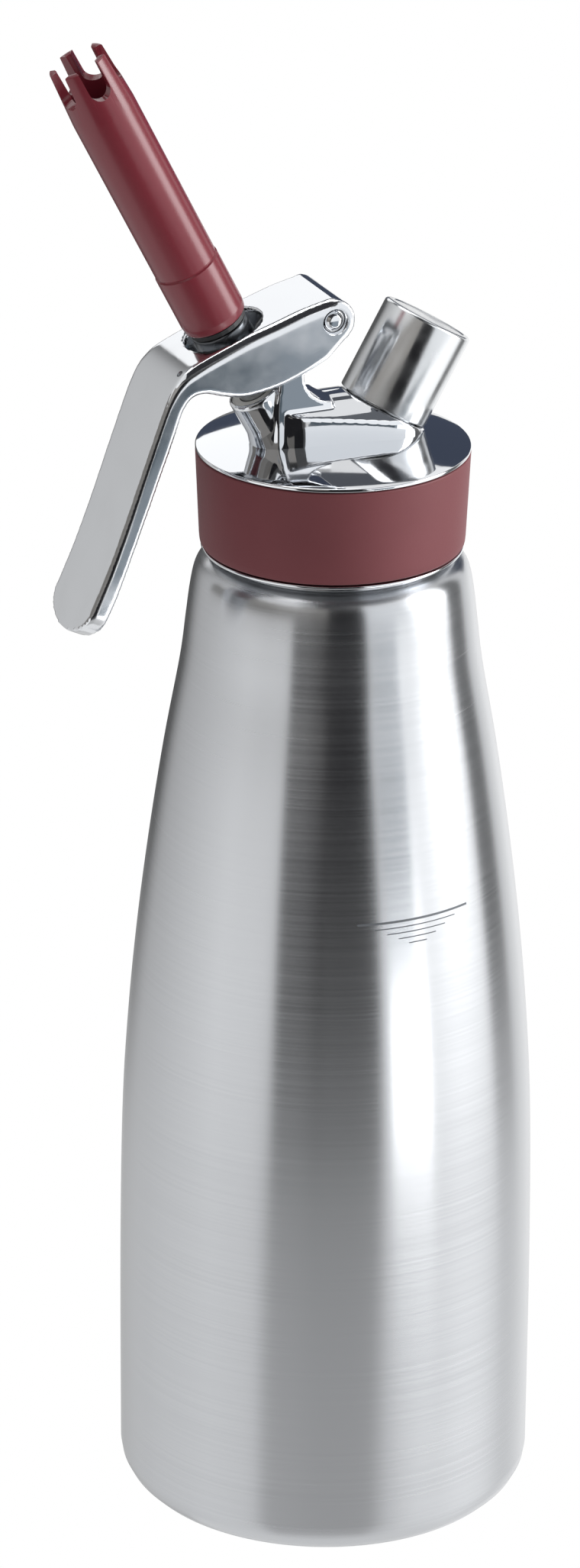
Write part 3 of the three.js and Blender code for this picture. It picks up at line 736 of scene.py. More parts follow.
boss = turned(
    "boss", valve_axis,
    [
        (0, BOSS_FOOT, 0), (BOSS_RADIUS + 1.4, BOSS_FOOT, 0), (BOSS_RADIUS + 1.2, -31, 3),
        (BOSS_RADIUS, -26, 6), (BOSS_RADIUS + BOSS_FLARE, BOSS_TOP, 0.4), (0, BOSS_TOP, 0),
    ],
)
cap_room = rod("cap_room", charger_axis, CAP_RADIUS + OVERRUN, CAP_SEAT, 30)
port_boss = rod("port_boss", charger_axis, PORT_BOSS_RADIUS, -PORT_BOSS_DEPTH, 0.3)
head_casting = combine(saddle, [post, port_boss], "UNION")
combine(head_casting, [cap_room], "DIFFERENCE")
combine(head_casting, [boss], "UNION")
print("casting has", len(head_casting.data.polygons), "faces before it is smoothed")

# %% Remesh and smooth the casting, then drill it
CASTING_CELL, CASTING_PASSES = 0.36, 8
STEM_BORE, STEM_FOOT, DRILL_TOP = 4.6, -53, 10
GUIDE_SEAT, GUIDE_BORE, COLLAR_ROOM = -19, 5.5, 6.8
PORT_BORE, PIN_BORE, PIN_REACH = 7, 2.4, 14


def flow_edges(piece, cell, passes):
    """Rounds all edges and fills inner corners, as casting and buffing do."""
    apply_modifier(
        piece, "REMESH", mode="VOXEL", voxel_size=cell * MM, use_smooth_shade=True
    )
    if passes:
        apply_modifier(piece, "SMOOTH", factor=0.5, iterations=passes)


flow_edges(head_casting, CASTING_CELL, CASTING_PASSES)
stem_room = rod("stem_room", valve_axis, STEM_BORE, STEM_FOOT, DRILL_TOP)
port_room = rod("port_room", charger_axis, PORT_BORE, -PORT_BOSS_DEPTH + 1, 9)
pin_room = rod("pin_room", pin_axis, PIN_BORE, -PIN_REACH, PIN_REACH, sides=48)
guide_room = turned(
    "guide_room", valve_axis,
    [
        (0, GUIDE_SEAT, 0), (GUIDE_BORE, GUIDE_SEAT, 0), (GUIDE_BORE, BOSS_TOP + 0.3, 0),
        (COLLAR_ROOM, BOSS_TOP + 0.3, 0), (COLLAR_ROOM, DRILL_TOP, 0), (0, DRILL_TOP, 0),
    ],
)
combine(head_casting, [stem_room, guide_room, port_room, pin_room], "DIFFERENCE")
head_casting.name = head_casting.data.name = "head_casting"
finish_piece(head_casting, head_polish, "head", ["head_shell"], angle=50)

# %% Charger nipple, valve spigot and the hole through the dome
NIPPLE_RADIUS, NIPPLE_TOP = 8.5, 13
PORT_PITCH, PORT_TURNS = 3, 3
charger_nipple = turned(
    "charger_nipple", charger_axis,
    [(1.2, -PORT_BOSS_DEPTH, 0), (NIPPLE_RADIUS, -PORT_BOSS_DEPTH, 0)]
    + thread_grooves(NIPPLE_RADIUS, 2.5, PORT_PITCH, PORT_TURNS, flank=0.8, rounding=0.15)
    + [
        (NIPPLE_RADIUS, NIPPLE_TOP, 0.5), (4.5, NIPPLE_TOP, 0.5), (4.5, 5.5, 0),
        (3.2, 5.5, 0.1), (3.2, -5, 0), (1.2, -5, 0), (1.2, -PORT_BOSS_DEPTH, 0),
    ],
)
spigot_top = GUIDE_SEAT - 0.6
valve_spigot = turned(
    "valve_spigot", valve_axis,
    [
        (STEM_BORE, spigot_top, 0), (5.4, spigot_top, 0), (5.4, -33.5, 0), (7.4, -33.5, 0),
        (7.4, -49, 0.4), (6.1, -49, 0.3), (6.1, -43.5, 0), (3.8, -43.5, 0), (3.8, -37, 0),
        (STEM_BORE, -37, 0), (STEM_BORE, spigot_top, 0),
    ],
)
for fitting in (charger_nipple, valve_spigot):
    finish_piece(fitting, turned_steel, "head", ["head_shell"])
combine(head_round, [rod("stem_room", valve_axis, 5, -50, -20)], "DIFFERENCE")
finish_piece(head_round, head_polish, "head", ["head_shell"])

# %% [markdown]
# ## The grip band
#
# A sleeve of silicone is stretched over the skirt, so a wet hand can unscrew the head. It is
# a little narrower at its foot, with a soft lower corner. It is spun from a closed outline,
# with 0.3 mm of air to the steel, so the two surfaces don't fight.

# %% Grip band
BAND_BORE, BAND_FOOT = SKIRT_RADIUS + 0.3, 29.7
BAND_BOTTOM, BAND_TOP = 233.8, 255.7
grip = turned(
    "silicone_band", upright,
    [
        (BAND_BORE, BAND_BOTTOM, 0), (BAND_FOOT, BAND_BOTTOM, 0.9),
        (BAND_FOOT + 0.2, BAND_BOTTOM + 2, 6), (RIM_RADIUS, BAND_TOP, 0.35),
        (BAND_BORE, BAND_TOP, 0), (BAND_BORE, BAND_BOTTOM, 0),
    ],
    sides=192,
)
finish_piece(grip, red_silicone, "head", ["grip_band"])

# %% [markdown]
# ## The squeeze lever
#
# The lever is pressed from 1.7 mm steel sheet into a long channel, bent over the valve and
# down along the bottle, then buffed. Its two long edges are the same lines as in the packed
# model: shares of the reach and the drop from the pivot. The outline is drawn out to the full
# width and a little past the tip. Each edge has a bevel weight, so the fold is broad on the
# arm and crisp on the handle. Then the tip, the channel and the holes are cut.

# %% Lever body
LEVER_WIDTH, LEVER_SHEET, LEVER_EYE = 21.4, 1.7, 4.9
LEVER_REACH, LEVER_DROP, LEVER_TIP, TIP_SPARE = 61.3, 66.5, 6.8, 5
UPPER_SHARES = [
    (0, -0.077), (0.113, -0.052), (0.23, -0.016), (0.345, 0.018), (0.46, 0.06),
    (0.525, 0.086), (0.57, 0.109), (0.603, 0.137), (0.63, 0.172), (0.655, 0.22),
    (0.682, 0.283), (0.745, 0.441), (0.81, 0.606), (0.875, 0.759), (0.94, 0.892),
    (0.992, 0.996),
]
LOWER_SHARES = [
    (0.023, 0.123), (0.112, 0.165), (0.2, 0.196), (0.289, 0.214), (0.365, 0.219),
    (0.44, 0.206), (0.495, 0.191), (0.537, 0.192), (0.568, 0.21), (0.595, 0.252),
    (0.626, 0.334), (0.69, 0.49), (0.76, 0.66), (0.819, 0.8), (0.861, 0.892),
    (0.915, 0.985),
]
LEVER_PIECES, TIP_KNOTS = 60, 8


def lever_line(shares):
    knots = [
        (PIVOT_X - LEVER_REACH * reach, PIVOT_Z - LEVER_DROP * drop) for reach, drop in shares
    ]
    return smooth_line(knots, LEVER_PIECES)


upper, lower = lever_line(UPPER_SHARES), lever_line(LOWER_SHARES)
tip = upper[-1]
handle_run = (tip - upper[-TIP_KNOTS]).normalized()
eye = arc((PIVOT_X, PIVOT_Z), LEVER_EYE, 78, -45)
spare_ends = [end + handle_run * TIP_SPARE for end in (lower[-1], tip)]
lever = slab("squeeze_lever", upper[::-1] + eye + lower + spare_ends, LEVER_WIDTH)
print("handle runs along", tuple(round(value, 3) for value in handle_run))

# %% Folds of the lever
ARM_FOLD, HANDLE_FOLD, FOLD_BEND = 1.5, 0.3, (-38, -45)
NEAR = 0.01
LEVER_CELL, LEVER_PASSES = 0.4, 6


def fold_width(start, end):
    """How broad the fold is at an edge of the body: 0 away from the two upper long edges."""
    for point in (start, end):
        nearest = min((Vector((point.x, point.z)) - corner).length for corner in upper)
        if abs(abs(point.y) - LEVER_WIDTH / 2) > NEAR or nearest > NEAR:
            return 0
    share = (start.x - FOLD_BEND[1]) / (FOLD_BEND[0] - FOLD_BEND[1])
    return HANDLE_FOLD + (ARM_FOLD - HANDLE_FOLD) * min(max(share, 0), 1)


fold_weights = lever.data.attributes.new("bevel_weight_edge", "FLOAT", "EDGE")
for edge in lever.data.edges:
    start, end = [lever.data.vertices[index].co / MM for index in edge.vertices]
    if (start - end).length < LEVER_WIDTH / 2:
        fold_weights.data[edge.index].value = fold_width(start, end) / ARM_FOLD
apply_modifier(
    lever, "BEVEL", width=ARM_FOLD * MM, segments=1, limit_method="WEIGHT",
    use_clamp_overlap=False,
)
flow_edges(lever, LEVER_CELL, 0)
print("lever body has", len(lever.data.polygons), "faces")

# %% Cut the tip and the channel
CUT_REACH = 60
tip_centre = tip - handle_run * LEVER_TIP


def across_handle(x, y, z):
    """x runs along the handle, y across it and z through its sheet."""
    along = Vector((handle_run.x, 0, handle_run.y))
    through = Vector((-handle_run.y, 0, handle_run.x))
    centre = Vector((tip_centre.x, 0, tip_centre.y))
    return (centre + along * x + Vector((0, y, 0)) + through * z) * MM


def round_end(inset):
    """All that lies beyond a half-elliptic end of the handle."""
    half, reach = LEVER_WIDTH / 2 - inset, LEVER_WIDTH + OVERRUN
    circle = arc((0, 0), 1, -90, 90, 32)
    end = [Vector(((LEVER_TIP - inset) * point.x, half * point.y)) for point in circle]
    corners = [(0, reach), (reach, reach), (reach, -reach), (0, -reach)]
    return end + [Vector(corner) for corner in corners]


def shifted(points, distance):
    """A line moved sideways, to the left of its direction."""
    moved = []
    for index, point in enumerate(points):
        before, after = points[max(index - 1, 0)], points[min(index + 1, len(points) - 1)]
        run = (after - before).normalized()
        moved.append(point + Vector((-run.y, run.x)) * distance)
    return moved


outside = slab("outside", round_end(0), CUT_REACH, across_handle)
wall_outside = slab("wall_outside", round_end(LEVER_SHEET), CUT_REACH, across_handle)
under_sheet = shifted(upper, LEVER_SHEET)
beyond = under_sheet[0].x + LEVER_EYE + OVERRUN
channel = slab(
    "channel",
    under_sheet[::-1] + [Vector((beyond, y)) for y in (under_sheet[0].y, tip.y - OVERRUN)],
    LEVER_WIDTH - 2 * LEVER_SHEET,
)
combine(channel, [wall_outside], "DIFFERENCE")
print("channel is", round(channel.dimensions.y / MM, 1), "mm wide inside")

# %% Cut the hole for the nozzle
HOLE_RADIUS, HOLE_STRETCH = 8.6, 0.8
hole_plan = arc((HOLE_STRETCH, 0), HOLE_RADIUS, -90, 90, 24) + arc(
    (0, 0), HOLE_RADIUS, 90, 270, 24
)


def across_valve(x, y, z):
    """x and y lie in the plane across the valve, z runs along the valve."""
    return valve_axis.point(x, z) + Vector((0, y, 0)) * MM


nozzle_hole = slab("nozzle_hole", hole_plan, 2 * OVERRUN, across_valve)
combine(lever, [outside, channel, nozzle_hole], "DIFFERENCE")
flow_edges(lever, LEVER_CELL, LEVER_PASSES)
print("lever spans", [round(value / MM, 1) for value in lever.dimensions], "mm")

# %% Lugs, pin hole and stop dimple
LUG_RADIUS, LUG_GAP = 2, 4.6
DIMPLE_PLACE, DIMPLE_RADIUS = (-40.5, -7.8, 280.8), 0.8
HOLE, SINK, CHEEK, SINK_MOUTH = 2.5, 3.9, 9.9, 12
press_height = (
    (PIVOT_Z - VALVE_Z) * valve_axis.along.z + (PIVOT_X - VALVE_X) * valve_axis.along.x
)
lug_place = valve_axis.point(0, press_height) / MM
lug_axis = Axis((lug_place.x, 0, lug_place.z), (0, 1, 0), (1, 0, 0))
lug_reach = LEVER_WIDTH / 2 - LEVER_SHEET / 2
lugs = [
    turned(
        "lug", lug_axis,
        [
            (0, sign * LUG_GAP, 0), (LUG_RADIUS, sign * LUG_GAP, 0.4),
            (LUG_RADIUS, sign * lug_reach, 0), (0, sign * lug_reach, 0),
        ],
        sides=48,
    )
    for sign in (-1, 1)
]
combine(lever, lugs, "UNION")
pin_hole = turned(
    "pin_hole", pin_axis,
    [
        (0, -SINK_MOUTH, 0), (SINK, -SINK_MOUTH, 0), (HOLE, -CHEEK, 0),
        (HOLE, CHEEK, 0), (SINK, SINK_MOUTH, 0), (0, SINK_MOUTH, 0),
    ],
    sides=64,
)
dimple_axis = Axis(DIMPLE_PLACE, (-0.67, 0, 0.74), (0.74, 0, 0.67))
dimple = rod("dimple", dimple_axis, DIMPLE_RADIUS, -0.8, 3, sides=32)
combine(lever, [pin_hole, dimple], "DIFFERENCE")
finish_piece(lever, lever_polish, "lever", ["lever"], angle=50)

# %% Pivot pin
PIN_RADIUS, PIN_HALF, PIN_NOSE = 2.2, 10.55, 0.8
pin = turned(
    "turned_pivot_pin", pin_axis,
    [
        (0, -PIN_HALF, 0), (1.3, -PIN_HALF, 0.5), (PIN_RADIUS, -PIN_HALF + PIN_NOSE, 0.5),
        (PIN_RADIUS, PIN_HALF - PIN_NOSE, 0.5), (1.3, PIN_HALF, 0.5), (0, PIN_HALF, 0),
    ],
    sides=64,
)
finish_piece(pin, head_polish, "head", ["pivot_pin"])

# %% [markdown]
# ## Valve stem, adapter and decorating nozzle
#
# Pressing the lever pushes the stem down against its spring. The adapter sits over the stem
# and carries the nozzle's thread. The nozzle is one long polypropylene moulding: a plain
# collar, a fine seam, a tube that narrows near the end, and five slots that leave the star
# of teeth which shapes the cream. The slots are cut one after another round the axis.

# %% Stem and adapter
STEM_RADIUS, STEM_WAY = 3.4, 1.5
valve_stem = turned(
    "turned_valve_stem", valve_axis,
    [
        (STEM_WAY, -39.9, 0), (0, -39.9, 0), (0, -48.5, 0), (4.4, -48.5, 0.3),
        (4.4, -45.5, 0.3), (2.4, -45.5, 0.2), (2.4, -38.5, 0.2), (STEM_RADIUS, -38.5, 0.2),
        (STEM_RADIUS, -33.4, 0.1), (2.9, -33.4, 0.1), (2.9, -31.6, 0.1),
        (STEM_RADIUS, -31.6, 0.1), (STEM_RADIUS, -13.6, 0.2), (6.4, -13.6, 0.4),
        (6.4, -11.4, 0.4), (STEM_RADIUS, -11.4, 0.2), (STEM_RADIUS, 1.7, 0.3),
        (STEM_WAY, 1.7, 0.3), (STEM_WAY, -39.9, 0),
    ],
    sides=72,
)
finish_piece(valve_stem, turned_steel, "valve", ["valve_stem"])
ADAPTER_BORE, ADAPTER_THREAD, THREAD_TOP = 3.6, 4.9, 13
ADAPTER_BOTTOM, ADAPTER_FLANGE = press_height + LUG_RADIUS + 0.5, 7.7
flange_top = ADAPTER_BOTTOM + ADAPTER_FLANGE
adapter = turned(
    "turned_adapter", valve_axis,
    [
        (ADAPTER_BORE, ADAPTER_BOTTOM, 0.2), (6.6, ADAPTER_BOTTOM, 0.5),
        (6.6, flange_top, 0.5), (5.2, flange_top, 0.2), (4.5, flange_top + 1.4, 0.2),
        (ADAPTER_THREAD, flange_top + 2.2, 0.3),
        (ADAPTER_THREAD, flange_top + THREAD_TOP, 0.6),
        (2.2, flange_top + THREAD_TOP, 0.3), (2.2, 2, 0), (ADAPTER_BORE, 2, 0),
        (ADAPTER_BORE, ADAPTER_BOTTOM, 0),
    ],
)
# The adapter's steel is darkened: painted shade for the gap under the nozzle.
finish_piece(adapter, adapter_shade_steel, "valve", ["nozzle_adapter"])

# %% Nozzle tube
NOZZLE_BOTTOM, NOZZLE_LENGTH = flange_top + 1.6, 69.8
NOZZLE_TIP = NOZZLE_BOTTOM + NOZZLE_LENGTH
TUBE_RADIUS, TUBE_BORE = 7.45, 4.4
COLLAR, SEAM, TAPER = 15.3, 0.35, 13
SOCKET_RADIUS, SOCKET_DEPTH = 6.3, 12.6
seam_height = NOZZLE_BOTTOM + COLLAR
socket_floor = NOZZLE_BOTTOM + SOCKET_DEPTH
nozzle = turned(
    "moulded_nozzle", valve_axis,
    [
        (SOCKET_RADIUS, NOZZLE_BOTTOM, 0.2), (7.2, NOZZLE_BOTTOM, 0.6),
        (TUBE_RADIUS, NOZZLE_BOTTOM + 2, 1), (TUBE_RADIUS, seam_height - SEAM, 0.1),
        (TUBE_RADIUS - SEAM, seam_height, 0.1),
        (TUBE_RADIUS - SEAM / 2, seam_height + SEAM, 0.1),
        (7.3, NOZZLE_TIP - TAPER, 20), (6.6, NOZZLE_TIP, 0.3), (5.1, NOZZLE_TIP, 0.3),
        (TUBE_BORE, NOZZLE_TIP - 16, 2), (TUBE_BORE, socket_floor, 0.3),
        (SOCKET_RADIUS, socket_floor, 0.3), (SOCKET_RADIUS, NOZZLE_BOTTOM, 0),
    ],
    sides=120,
)
print("nozzle's mouth is", NOZZLE_LENGTH, "mm from its base")

# %% Cut the star of slots
SLOT_COUNT, SLOT_DEPTH, SLOT_WIDTH, SLOT_REACH = 5, 8, 4.9, 12
TOOTH_ROUNDING = 0.2
half_slot = SLOT_WIDTH / 2
slot_outline = arc((0, NOZZLE_TIP - SLOT_DEPTH + half_slot), half_slot, 180, 360) + [
    Vector((half_slot, NOZZLE_TIP + OVERRUN)), Vector((-half_slot, NOZZLE_TIP + OVERRUN))
]


def slot_frame(turn):
    """x runs round the tube, y along it, and z outwards from its middle."""
    side_step = valve_axis.along.cross(valve_axis.outward)
    outward = -side_step * math.cos(turn) + valve_axis.outward * math.sin(turn)
    around = valve_axis.along.cross(outward)

    def place(x, y, z):
        start = valve_axis.point(0, y)
        return start + (around * x + outward * (z + SLOT_REACH / 2)) * MM

    return place


slots = [
    slab("slot", slot_outline, SLOT_REACH, slot_frame(2 * math.pi * index / SLOT_COUNT))
    for index in range(SLOT_COUNT)
]
combine(nozzle, slots, "DIFFERENCE")
apply_modifier(
    nozzle, "BEVEL", width=TOOTH_ROUNDING * MM, segments=2, limit_method="ANGLE",
    angle_limit=math.radians(50),
)
finish_piece(
    nozzle, red_polypropylene, "nozzle", ["decorator_nozzle"], angle=45
)

# %% [markdown]
# ## The protective cap
#
# A polished cap screws over the charger port when no charger is fitted. It is a plain cup:
# a thin wall, a thick flat top and a small bright bevel round the top edge.

# %% Protective cap
CAP_HEIGHT, CAP_TOP, CAP_DISH = 22.1, 2.8, 0.15
cap_bore, cap_ceiling = CAP_RADIUS - CAP_WALL, CAP_HEIGHT - CAP_TOP
cap = turned(
    "turned_cap", charger_axis,
    [
        (cap_bore, 0, 0.2), (CAP_RADIUS, 0, 0.4), (CAP_RADIUS, CAP_HEIGHT, 0.8),
        (CAP_RADIUS - 1.6, CAP_HEIGHT, 0.15), (CAP_RADIUS - 1.8, CAP_HEIGHT - CAP_DISH, 0.15),
        (0, CAP_HEIGHT - CAP_DISH, 0), (0, cap_ceiling, 0), (cap_bore, cap_ceiling, 0.4),
        (cap_bore, 0, 0),
    ],
    sides=160,
)
finish_piece(cap, cap_polish, "cap", ["protective_cap"])

# %% [markdown]
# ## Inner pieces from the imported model
#
# Seals, springs, the guide and the valve parts are already the right shape in the packed
# model and are mostly hidden, so they stay and only get a proper material each.

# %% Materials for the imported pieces
CARRIED = [
    (red_silicone, ["head_gasket"]),
    (black_rubber, ["valve_o_ring", "nozzle_seal", "cap_liner", "charger_seal",
                    "check_valve_disc"]),
    (white_acetal, ["valve_guide"]),
    (clear_silicone, ["valve_seal"]),
    (turned_steel, ["valve_cage", "nozzle_insert", "piercing_pin"]),
    (wire_steel, ["valve_spring", "check_valve_spring"]),
]
for material, node_names in CARRIED:
    for node_name in node_names:
        for material_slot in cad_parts[node_name].material_slots:
            material_slot.material = material
    print(material.name, "goes on", ", ".join(node_names))

# %% [markdown]
# ## Camera
#
# The photograph was taken with a long lens from slightly above, a little to the left of the
# lever's plane. The numbers are the view's turn, tilt and roll, the distance, and the point
# on the bottle's axis that the lens looks at.

# %% Camera at the photograph's angle
LENS, SENSOR, CLIP_START = 146.48, 36, 0.05
turn, tilt, roll = (math.radians(value) for value in (-24, 22.666, 0.446))
DISTANCE, AIM_HEIGHT, SIDE_STEP = 1.4523, 0.17429, 0.00903

right = Vector((math.cos(turn), math.sin(turn), 0))
level = Vector((-math.sin(turn), math.cos(turn), 0))
toward = level * math.cos(tilt) - Vector((0, 0, 1)) * math.sin(tilt)
above = level * math.sin(tilt) + Vector((0, 0, 1)) * math.cos(tilt)
place = Vector((0, 0, AIM_HEIGHT)) - toward * DISTANCE - right * SIDE_STEP
camera_right = right * math.cos(roll) + above * math.sin(roll)
camera_up = above * math.cos(roll) - right * math.sin(roll)
bpy.ops.object.camera_add()
camera = bpy.context.object
camera.matrix_world = Matrix.Translation(place) @ Matrix(
    (camera_right, camera_up, -toward)
).transposed().to_4x4()
camera.data.lens, camera.data.sensor_width = LENS, SENSOR
camera.data.clip_start = CLIP_START
bpy.context.scene.camera = camera
print("camera stands at", [round(value, 3) for value in place])

# %% [markdown]
# ## A light tent for polished steel
#
# Polished and brushed steel shows its surroundings, so a photographer stands it in a tent
# of white cloth with black card beside the camera. The tent below is a tall drum that only
# reflections can see. Its brightness runs round the drum: pale grey on the left, a dark card
# behind the camera, and a bright soft box on the right. A second run of values holds for its
# lower part, where the dark card fades into the pale table.

# %% Values round the tent
TENT_RADIUS, TENT_LOW, TENT_HIGH, TENT_SIDES = 0.36, -0.5, 0.62, 128
TENT_FADE = (-0.07, 0.05)
TENT_UPPER = [
    (-180, 0.5), (-168, 0.1), (-146, 0.12), (-127, 0.6), (-97, 0.85), (-63, 1.15), (-44, 1.1),
    (-31, 0.95), (-27, 0.04), (-6, 0.045), (0, 0.095), (27, 0.095), (31, 1.3), (36, 1.4),
    (58, 1.6), (94, 1.5), (100, 1.3), (104, 0.15), (121, 0.2), (126, 0.9), (146, 1.2),
    (180, 0.9),
]
TENT_LOWER = [
    (-180, 0.9), (-152, 0.6), (-127, 0.8), (-97, 0.92), (-63, 1.0), (-44, 0.94), (-37, 0.86),
    (-31, 0.56), (25, 0.56), (32, 0.8), (50, 1.04), (94, 1.13), (106, 1.05), (109, 0.95),
    (121, 0.95), (126, 1.0), (146, 1.1), (180, 0.9),
]
CAMERA_POLAR = math.degrees(turn) - 90
FULL_GLOW = 2.0
print("the tent has", len(TENT_UPPER), "values above and", len(TENT_LOWER), "below")

# %% Light tent


def tent_ramp(material, around, stops):
    """A colour ramp round the drum, darkened so that values above 1 survive in it."""
    ramp = add_node(material, "ShaderNodeValToRGB", Fac=around)
    elements = ramp.color_ramp.elements
    while len(elements) < len(stops):
        elements.new(0.5)
    for element, (angle, value) in zip(elements, stops):
        element.position = (angle + 180) / 360
        element.color = (value / FULL_GLOW,) * 3 + (1,)
    return ramp.outputs["Color"]


def glowing(name, colour, strength):
    """A material that only gives off light, and its emission node."""
    material = bpy.data.materials.new(name)
    material.use_nodes = True
    material.node_tree.nodes.clear()
    glow = add_node(material, "ShaderNodeEmission", Color=linear(colour), Strength=strength)
    add_node(material, "ShaderNodeOutputMaterial", Surface=glow.outputs["Emission"])
    return material, glow


def tent_material():
    material, glow = glowing("tent_cloth", "#ffffff", FULL_GLOW)
    place_node = add_node(material, "ShaderNodeTexCoord")
    mapped = add_node(
        material, "ShaderNodeMapping", Vector=place_node.outputs["Object"],
        Rotation=(0, 0, -math.radians(CAMERA_POLAR)),
    )
    axes = add_node(material, "ShaderNodeSeparateXYZ", Vector=mapped.outputs["Vector"])
    angle = add_node(material, "ShaderNodeMath", {"operation": "ARCTAN2"})
    link(material, axes.outputs["Y"], angle.inputs[0])
    link(material, axes.outputs["X"], angle.inputs[1])
    around = add_node(
        material, "ShaderNodeMapRange", Value=angle.outputs["Value"],
        From_Min=-math.pi, From_Max=math.pi,
    ).outputs["Result"]
    rise = add_node(
        material, "ShaderNodeMapRange", Value=axes.outputs["Z"],
        From_Min=TENT_FADE[0], From_Max=TENT_FADE[1],
    )
    mix = add_node(material, "ShaderNodeMix", {"data_type": "RGBA"})
    link(material, rise.outputs["Result"], mix.inputs[0])
    link(material, tent_ramp(material, around, TENT_LOWER), mix.inputs[6])
    link(material, tent_ramp(material, around, TENT_UPPER), mix.inputs[7])
    link(material, mix.outputs[2], glow.inputs["Color"])
    return material


def reflection_only(piece):
    for ray in ("camera", "diffuse", "shadow", "transmission", "volume_scatter"):
        setattr(piece, "visible_" + ray, False)


deselect_all()
bpy.ops.mesh.primitive_cylinder_add(
    vertices=TENT_SIDES, radius=TENT_RADIUS, depth=TENT_HIGH - TENT_LOW,
    end_fill_type="NOTHING", location=(0, 0, (TENT_HIGH + TENT_LOW) / 2),
)
tent = bpy.context.object
tent.name = "light_tent"
bpy.ops.object.transform_apply(location=True, rotation=True, scale=True)
tent.data.materials.append(tent_material())
reflection_only(tent)
print("tent is", TENT_HIGH - TENT_LOW, "m high")

# %% [markdown]
# ## Cards for the mirror surfaces
#
# The head is polished, so it shows single cards crisply, where the brushed bottle blurs
# them. Each card is a bent strip just inside the tent. On the right a pale one, greys below
# it and a bright low sill give the lever's side its tones. Black ones stand by the lens, with
# warm greys beside and above them for the cap. Behind, a navy cloth darkens the rim of the
# dome, next to a white card, and a strip light on the far right draws long highlights. Flat
# flags overhead keep the lever's fold line and the dome from washing out.

# %% Cards inside the tent
CARD_RADIUS, CARD_STEPS = 0.345, 24
CARDS = [
    ("pale_card", 26, 74, 0.18, 0.5, "#f4f6f8", 1.25),
    ("sill_card", 34, 56, 0.02, 0.066, "#ffffff", 6.5),
    ("side_card", 33, 50, 0.07, 0.138, "#8d979f", 1),
    ("arm_card", 30, 44, 0.138, 0.18, "#59636b", 1),
    ("eye_card", 44, 50, 0.138, 0.18, "#959fa8", 1),
    ("black_card", -3, 23, 0.12, 0.42, "#222224", 1),
    ("shade_card", -29, -3, 0.1, 0.23, "#222224", 1),
    ("brown_card", -27, -3, 0.23, 0.36, "#73706c", 1),
    ("warm_card", -112, -27, 0.22, 0.36, "#85827e", 1),
    ("smoke_card", -78, -3, 0.36, 0.5, "#9d9994", 1),
    ("navy_cloth", 137, 197, 0.26, 0.34, "#454c5c", 1),
    ("navy_curtain", 137, 180, 0.34, 0.49, "#454c5c", 1),
    ("back_card", 180, 216, 0.34, 0.56, "#ffffff", 1.3),
    ("strip_light", 74, 99, 0.22, 0.5, "#ffffff", 6),
]


def hang(card, colour, strength):
    """Paints a card with even light and hides it from all but reflections."""
    card.data.materials.append(glowing(card.name + "_paint", colour, strength)[0])
    reflection_only(card)


def bent_card(name, start, end, low, high, colour, strength):
    """A strip of the drum between two angles from the lens and two heights in metres."""
    polar = math.radians(CAMERA_POLAR + end)
    foot = Vector((math.cos(polar), math.sin(polar), 0)) * CARD_RADIUS
    strip = draw_outline(name, [foot + Vector((0, 0, height)) for height in (low, high)])
    spin_about(upright, end - start, CARD_STEPS)
    hang(close_up(strip), colour, strength)


for card in CARDS:
    bent_card(*card)
print(len(CARDS), "cards stand", CARD_RADIUS, "m from the bottle's axis")

# %% Flags overhead
FLAG_HEIGHT = 0.6
FLAGS = [
    ("fold_flag", -0.2, 0.08, -0.32, -0.04, "#38383b"),
    ("right_flag", 0.08, 0.3, -0.36, -0.05, "#6b6e73"),
    ("rear_flag", -0.22, 0.24, 0.2, 0.6, "#5a5d63"),
]


def overhead_flag(name, left, right, front, back, colour):
    """A flat card across the top of the tent, between two x and two y in metres."""
    deselect_all()
    middle = ((left + right) / 2, (front + back) / 2, FLAG_HEIGHT)
    bpy.ops.mesh.primitive_plane_add(size=1, location=middle)
    flag = bpy.context.object
    flag.name = name
    flag.scale = (right - left, back - front, 1)
    bpy.ops.object.transform_apply(location=True, rotation=True, scale=True)
    hang(flag, colour, 1)


for flag in FLAGS:
    overhead_flag(*flag)
print(len(FLAGS), "flags lie", FLAG_HEIGHT, "m above the table")

# %% [markdown]
# ## A white table in a white room
#
# The background has to be plain white without more light on the product. So the table and
# the world mix two shaders by Light Path: the camera and reflections meet plain white, and
# all other rays meet the ordinary pale table and a dimmer world.

# %% Table and world
TABLE_SIZE, WORLD_STRENGTH = 12, 0.34
WHITE = (1, 1, 1, 1)


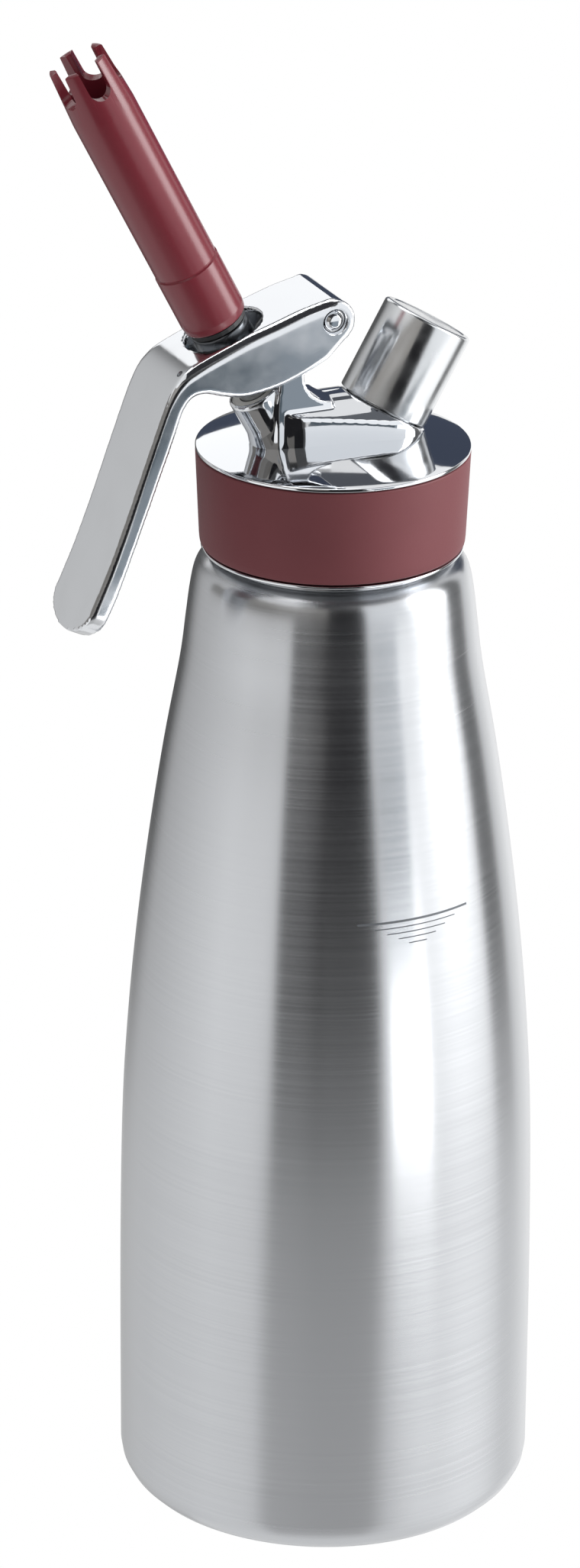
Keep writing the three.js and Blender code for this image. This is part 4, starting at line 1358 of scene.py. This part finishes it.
def white_to_the_lens(owner, shader, white_kind, output_kind):
    """Camera, glossy and transmission rays meet plain white; other rays meet the shader."""
    path = add_node(owner, "ShaderNodeLightPath")
    seen = path.outputs["Is Camera Ray"]
    for ray in ("Is Glossy Ray", "Is Transmission Ray"):
        either = add_node(owner, "ShaderNodeMath", {"operation": "MAXIMUM"})
        link(owner, seen, either.inputs[0])
        link(owner, path.outputs[ray], either.inputs[1])
        seen = either.outputs["Value"]
    white = add_node(owner, white_kind, Color=WHITE)
    mix = add_node(owner, "ShaderNodeMixShader", Fac=seen)
    link(owner, shader.outputs[0], mix.inputs[1])
    link(owner, white.outputs[0], mix.inputs[2])
    set_inputs(owner, find_node(owner, output_kind), Surface=mix.outputs["Shader"])


deselect_all()
bpy.ops.mesh.primitive_plane_add(size=TABLE_SIZE, location=(0, 0, 0))
floor = bpy.context.object
floor.name = "floor"
table_paint, paint_shader = new_material("white_table")
set_inputs(table_paint, paint_shader, Base_Color=linear("#f6f6f6"), Roughness=0.8)
white_to_the_lens(table_paint, paint_shader, "ShaderNodeEmission", "OUTPUT_MATERIAL")
floor.data.materials.append(table_paint)
floor.visible_glossy = False

world = bpy.data.worlds.new("studio")
bpy.context.scene.world = world
world.use_nodes = True
dim = find_node(world, "BACKGROUND")
set_inputs(world, dim, Color=WHITE, Strength=WORLD_STRENGTH)
white_to_the_lens(world, dim, "ShaderNodeBackground", "OUTPUT_WORLD")
print("floor and world are ready")

# %% [markdown]
# ## Soft lamps
#
# Steel takes its tones from the tent, but the red band and nozzle are lit as any matte thing
# is. A broad key lamp on the right, a weak fill on the left and one from above do that.

# %% Soft lamps
LAMP_AIM = Vector((0, 0, 0.2))


def soft_lamp(name, place, size, power):
    bpy.ops.object.light_add(type="AREA", location=place)
    lamp = bpy.context.object
    lamp.name = name
    lamp.data.size = size
    lamp.data.energy = power
    lamp.rotation_euler = (LAMP_AIM - Vector(place)).to_track_quat("-Z", "Y").to_euler()
    print(name, "gives", lamp.data.energy, "watts")


soft_lamp("key_lamp", (1.6, -0.9, 0.9), 0.9, 38)
soft_lamp("fill_lamp", (-1.6, -1.4, 0.9), 1.1, 8)
soft_lamp("top_lamp", (-0.2, 0.4, 1.9), 1.2, 10)

# %% [markdown]
# ## Colour management and the end
#
# The Standard view shows each colour about as it is written.

# %% Colour management and the end
scene = bpy.context.scene
scene.view_settings.view_transform = "Standard"
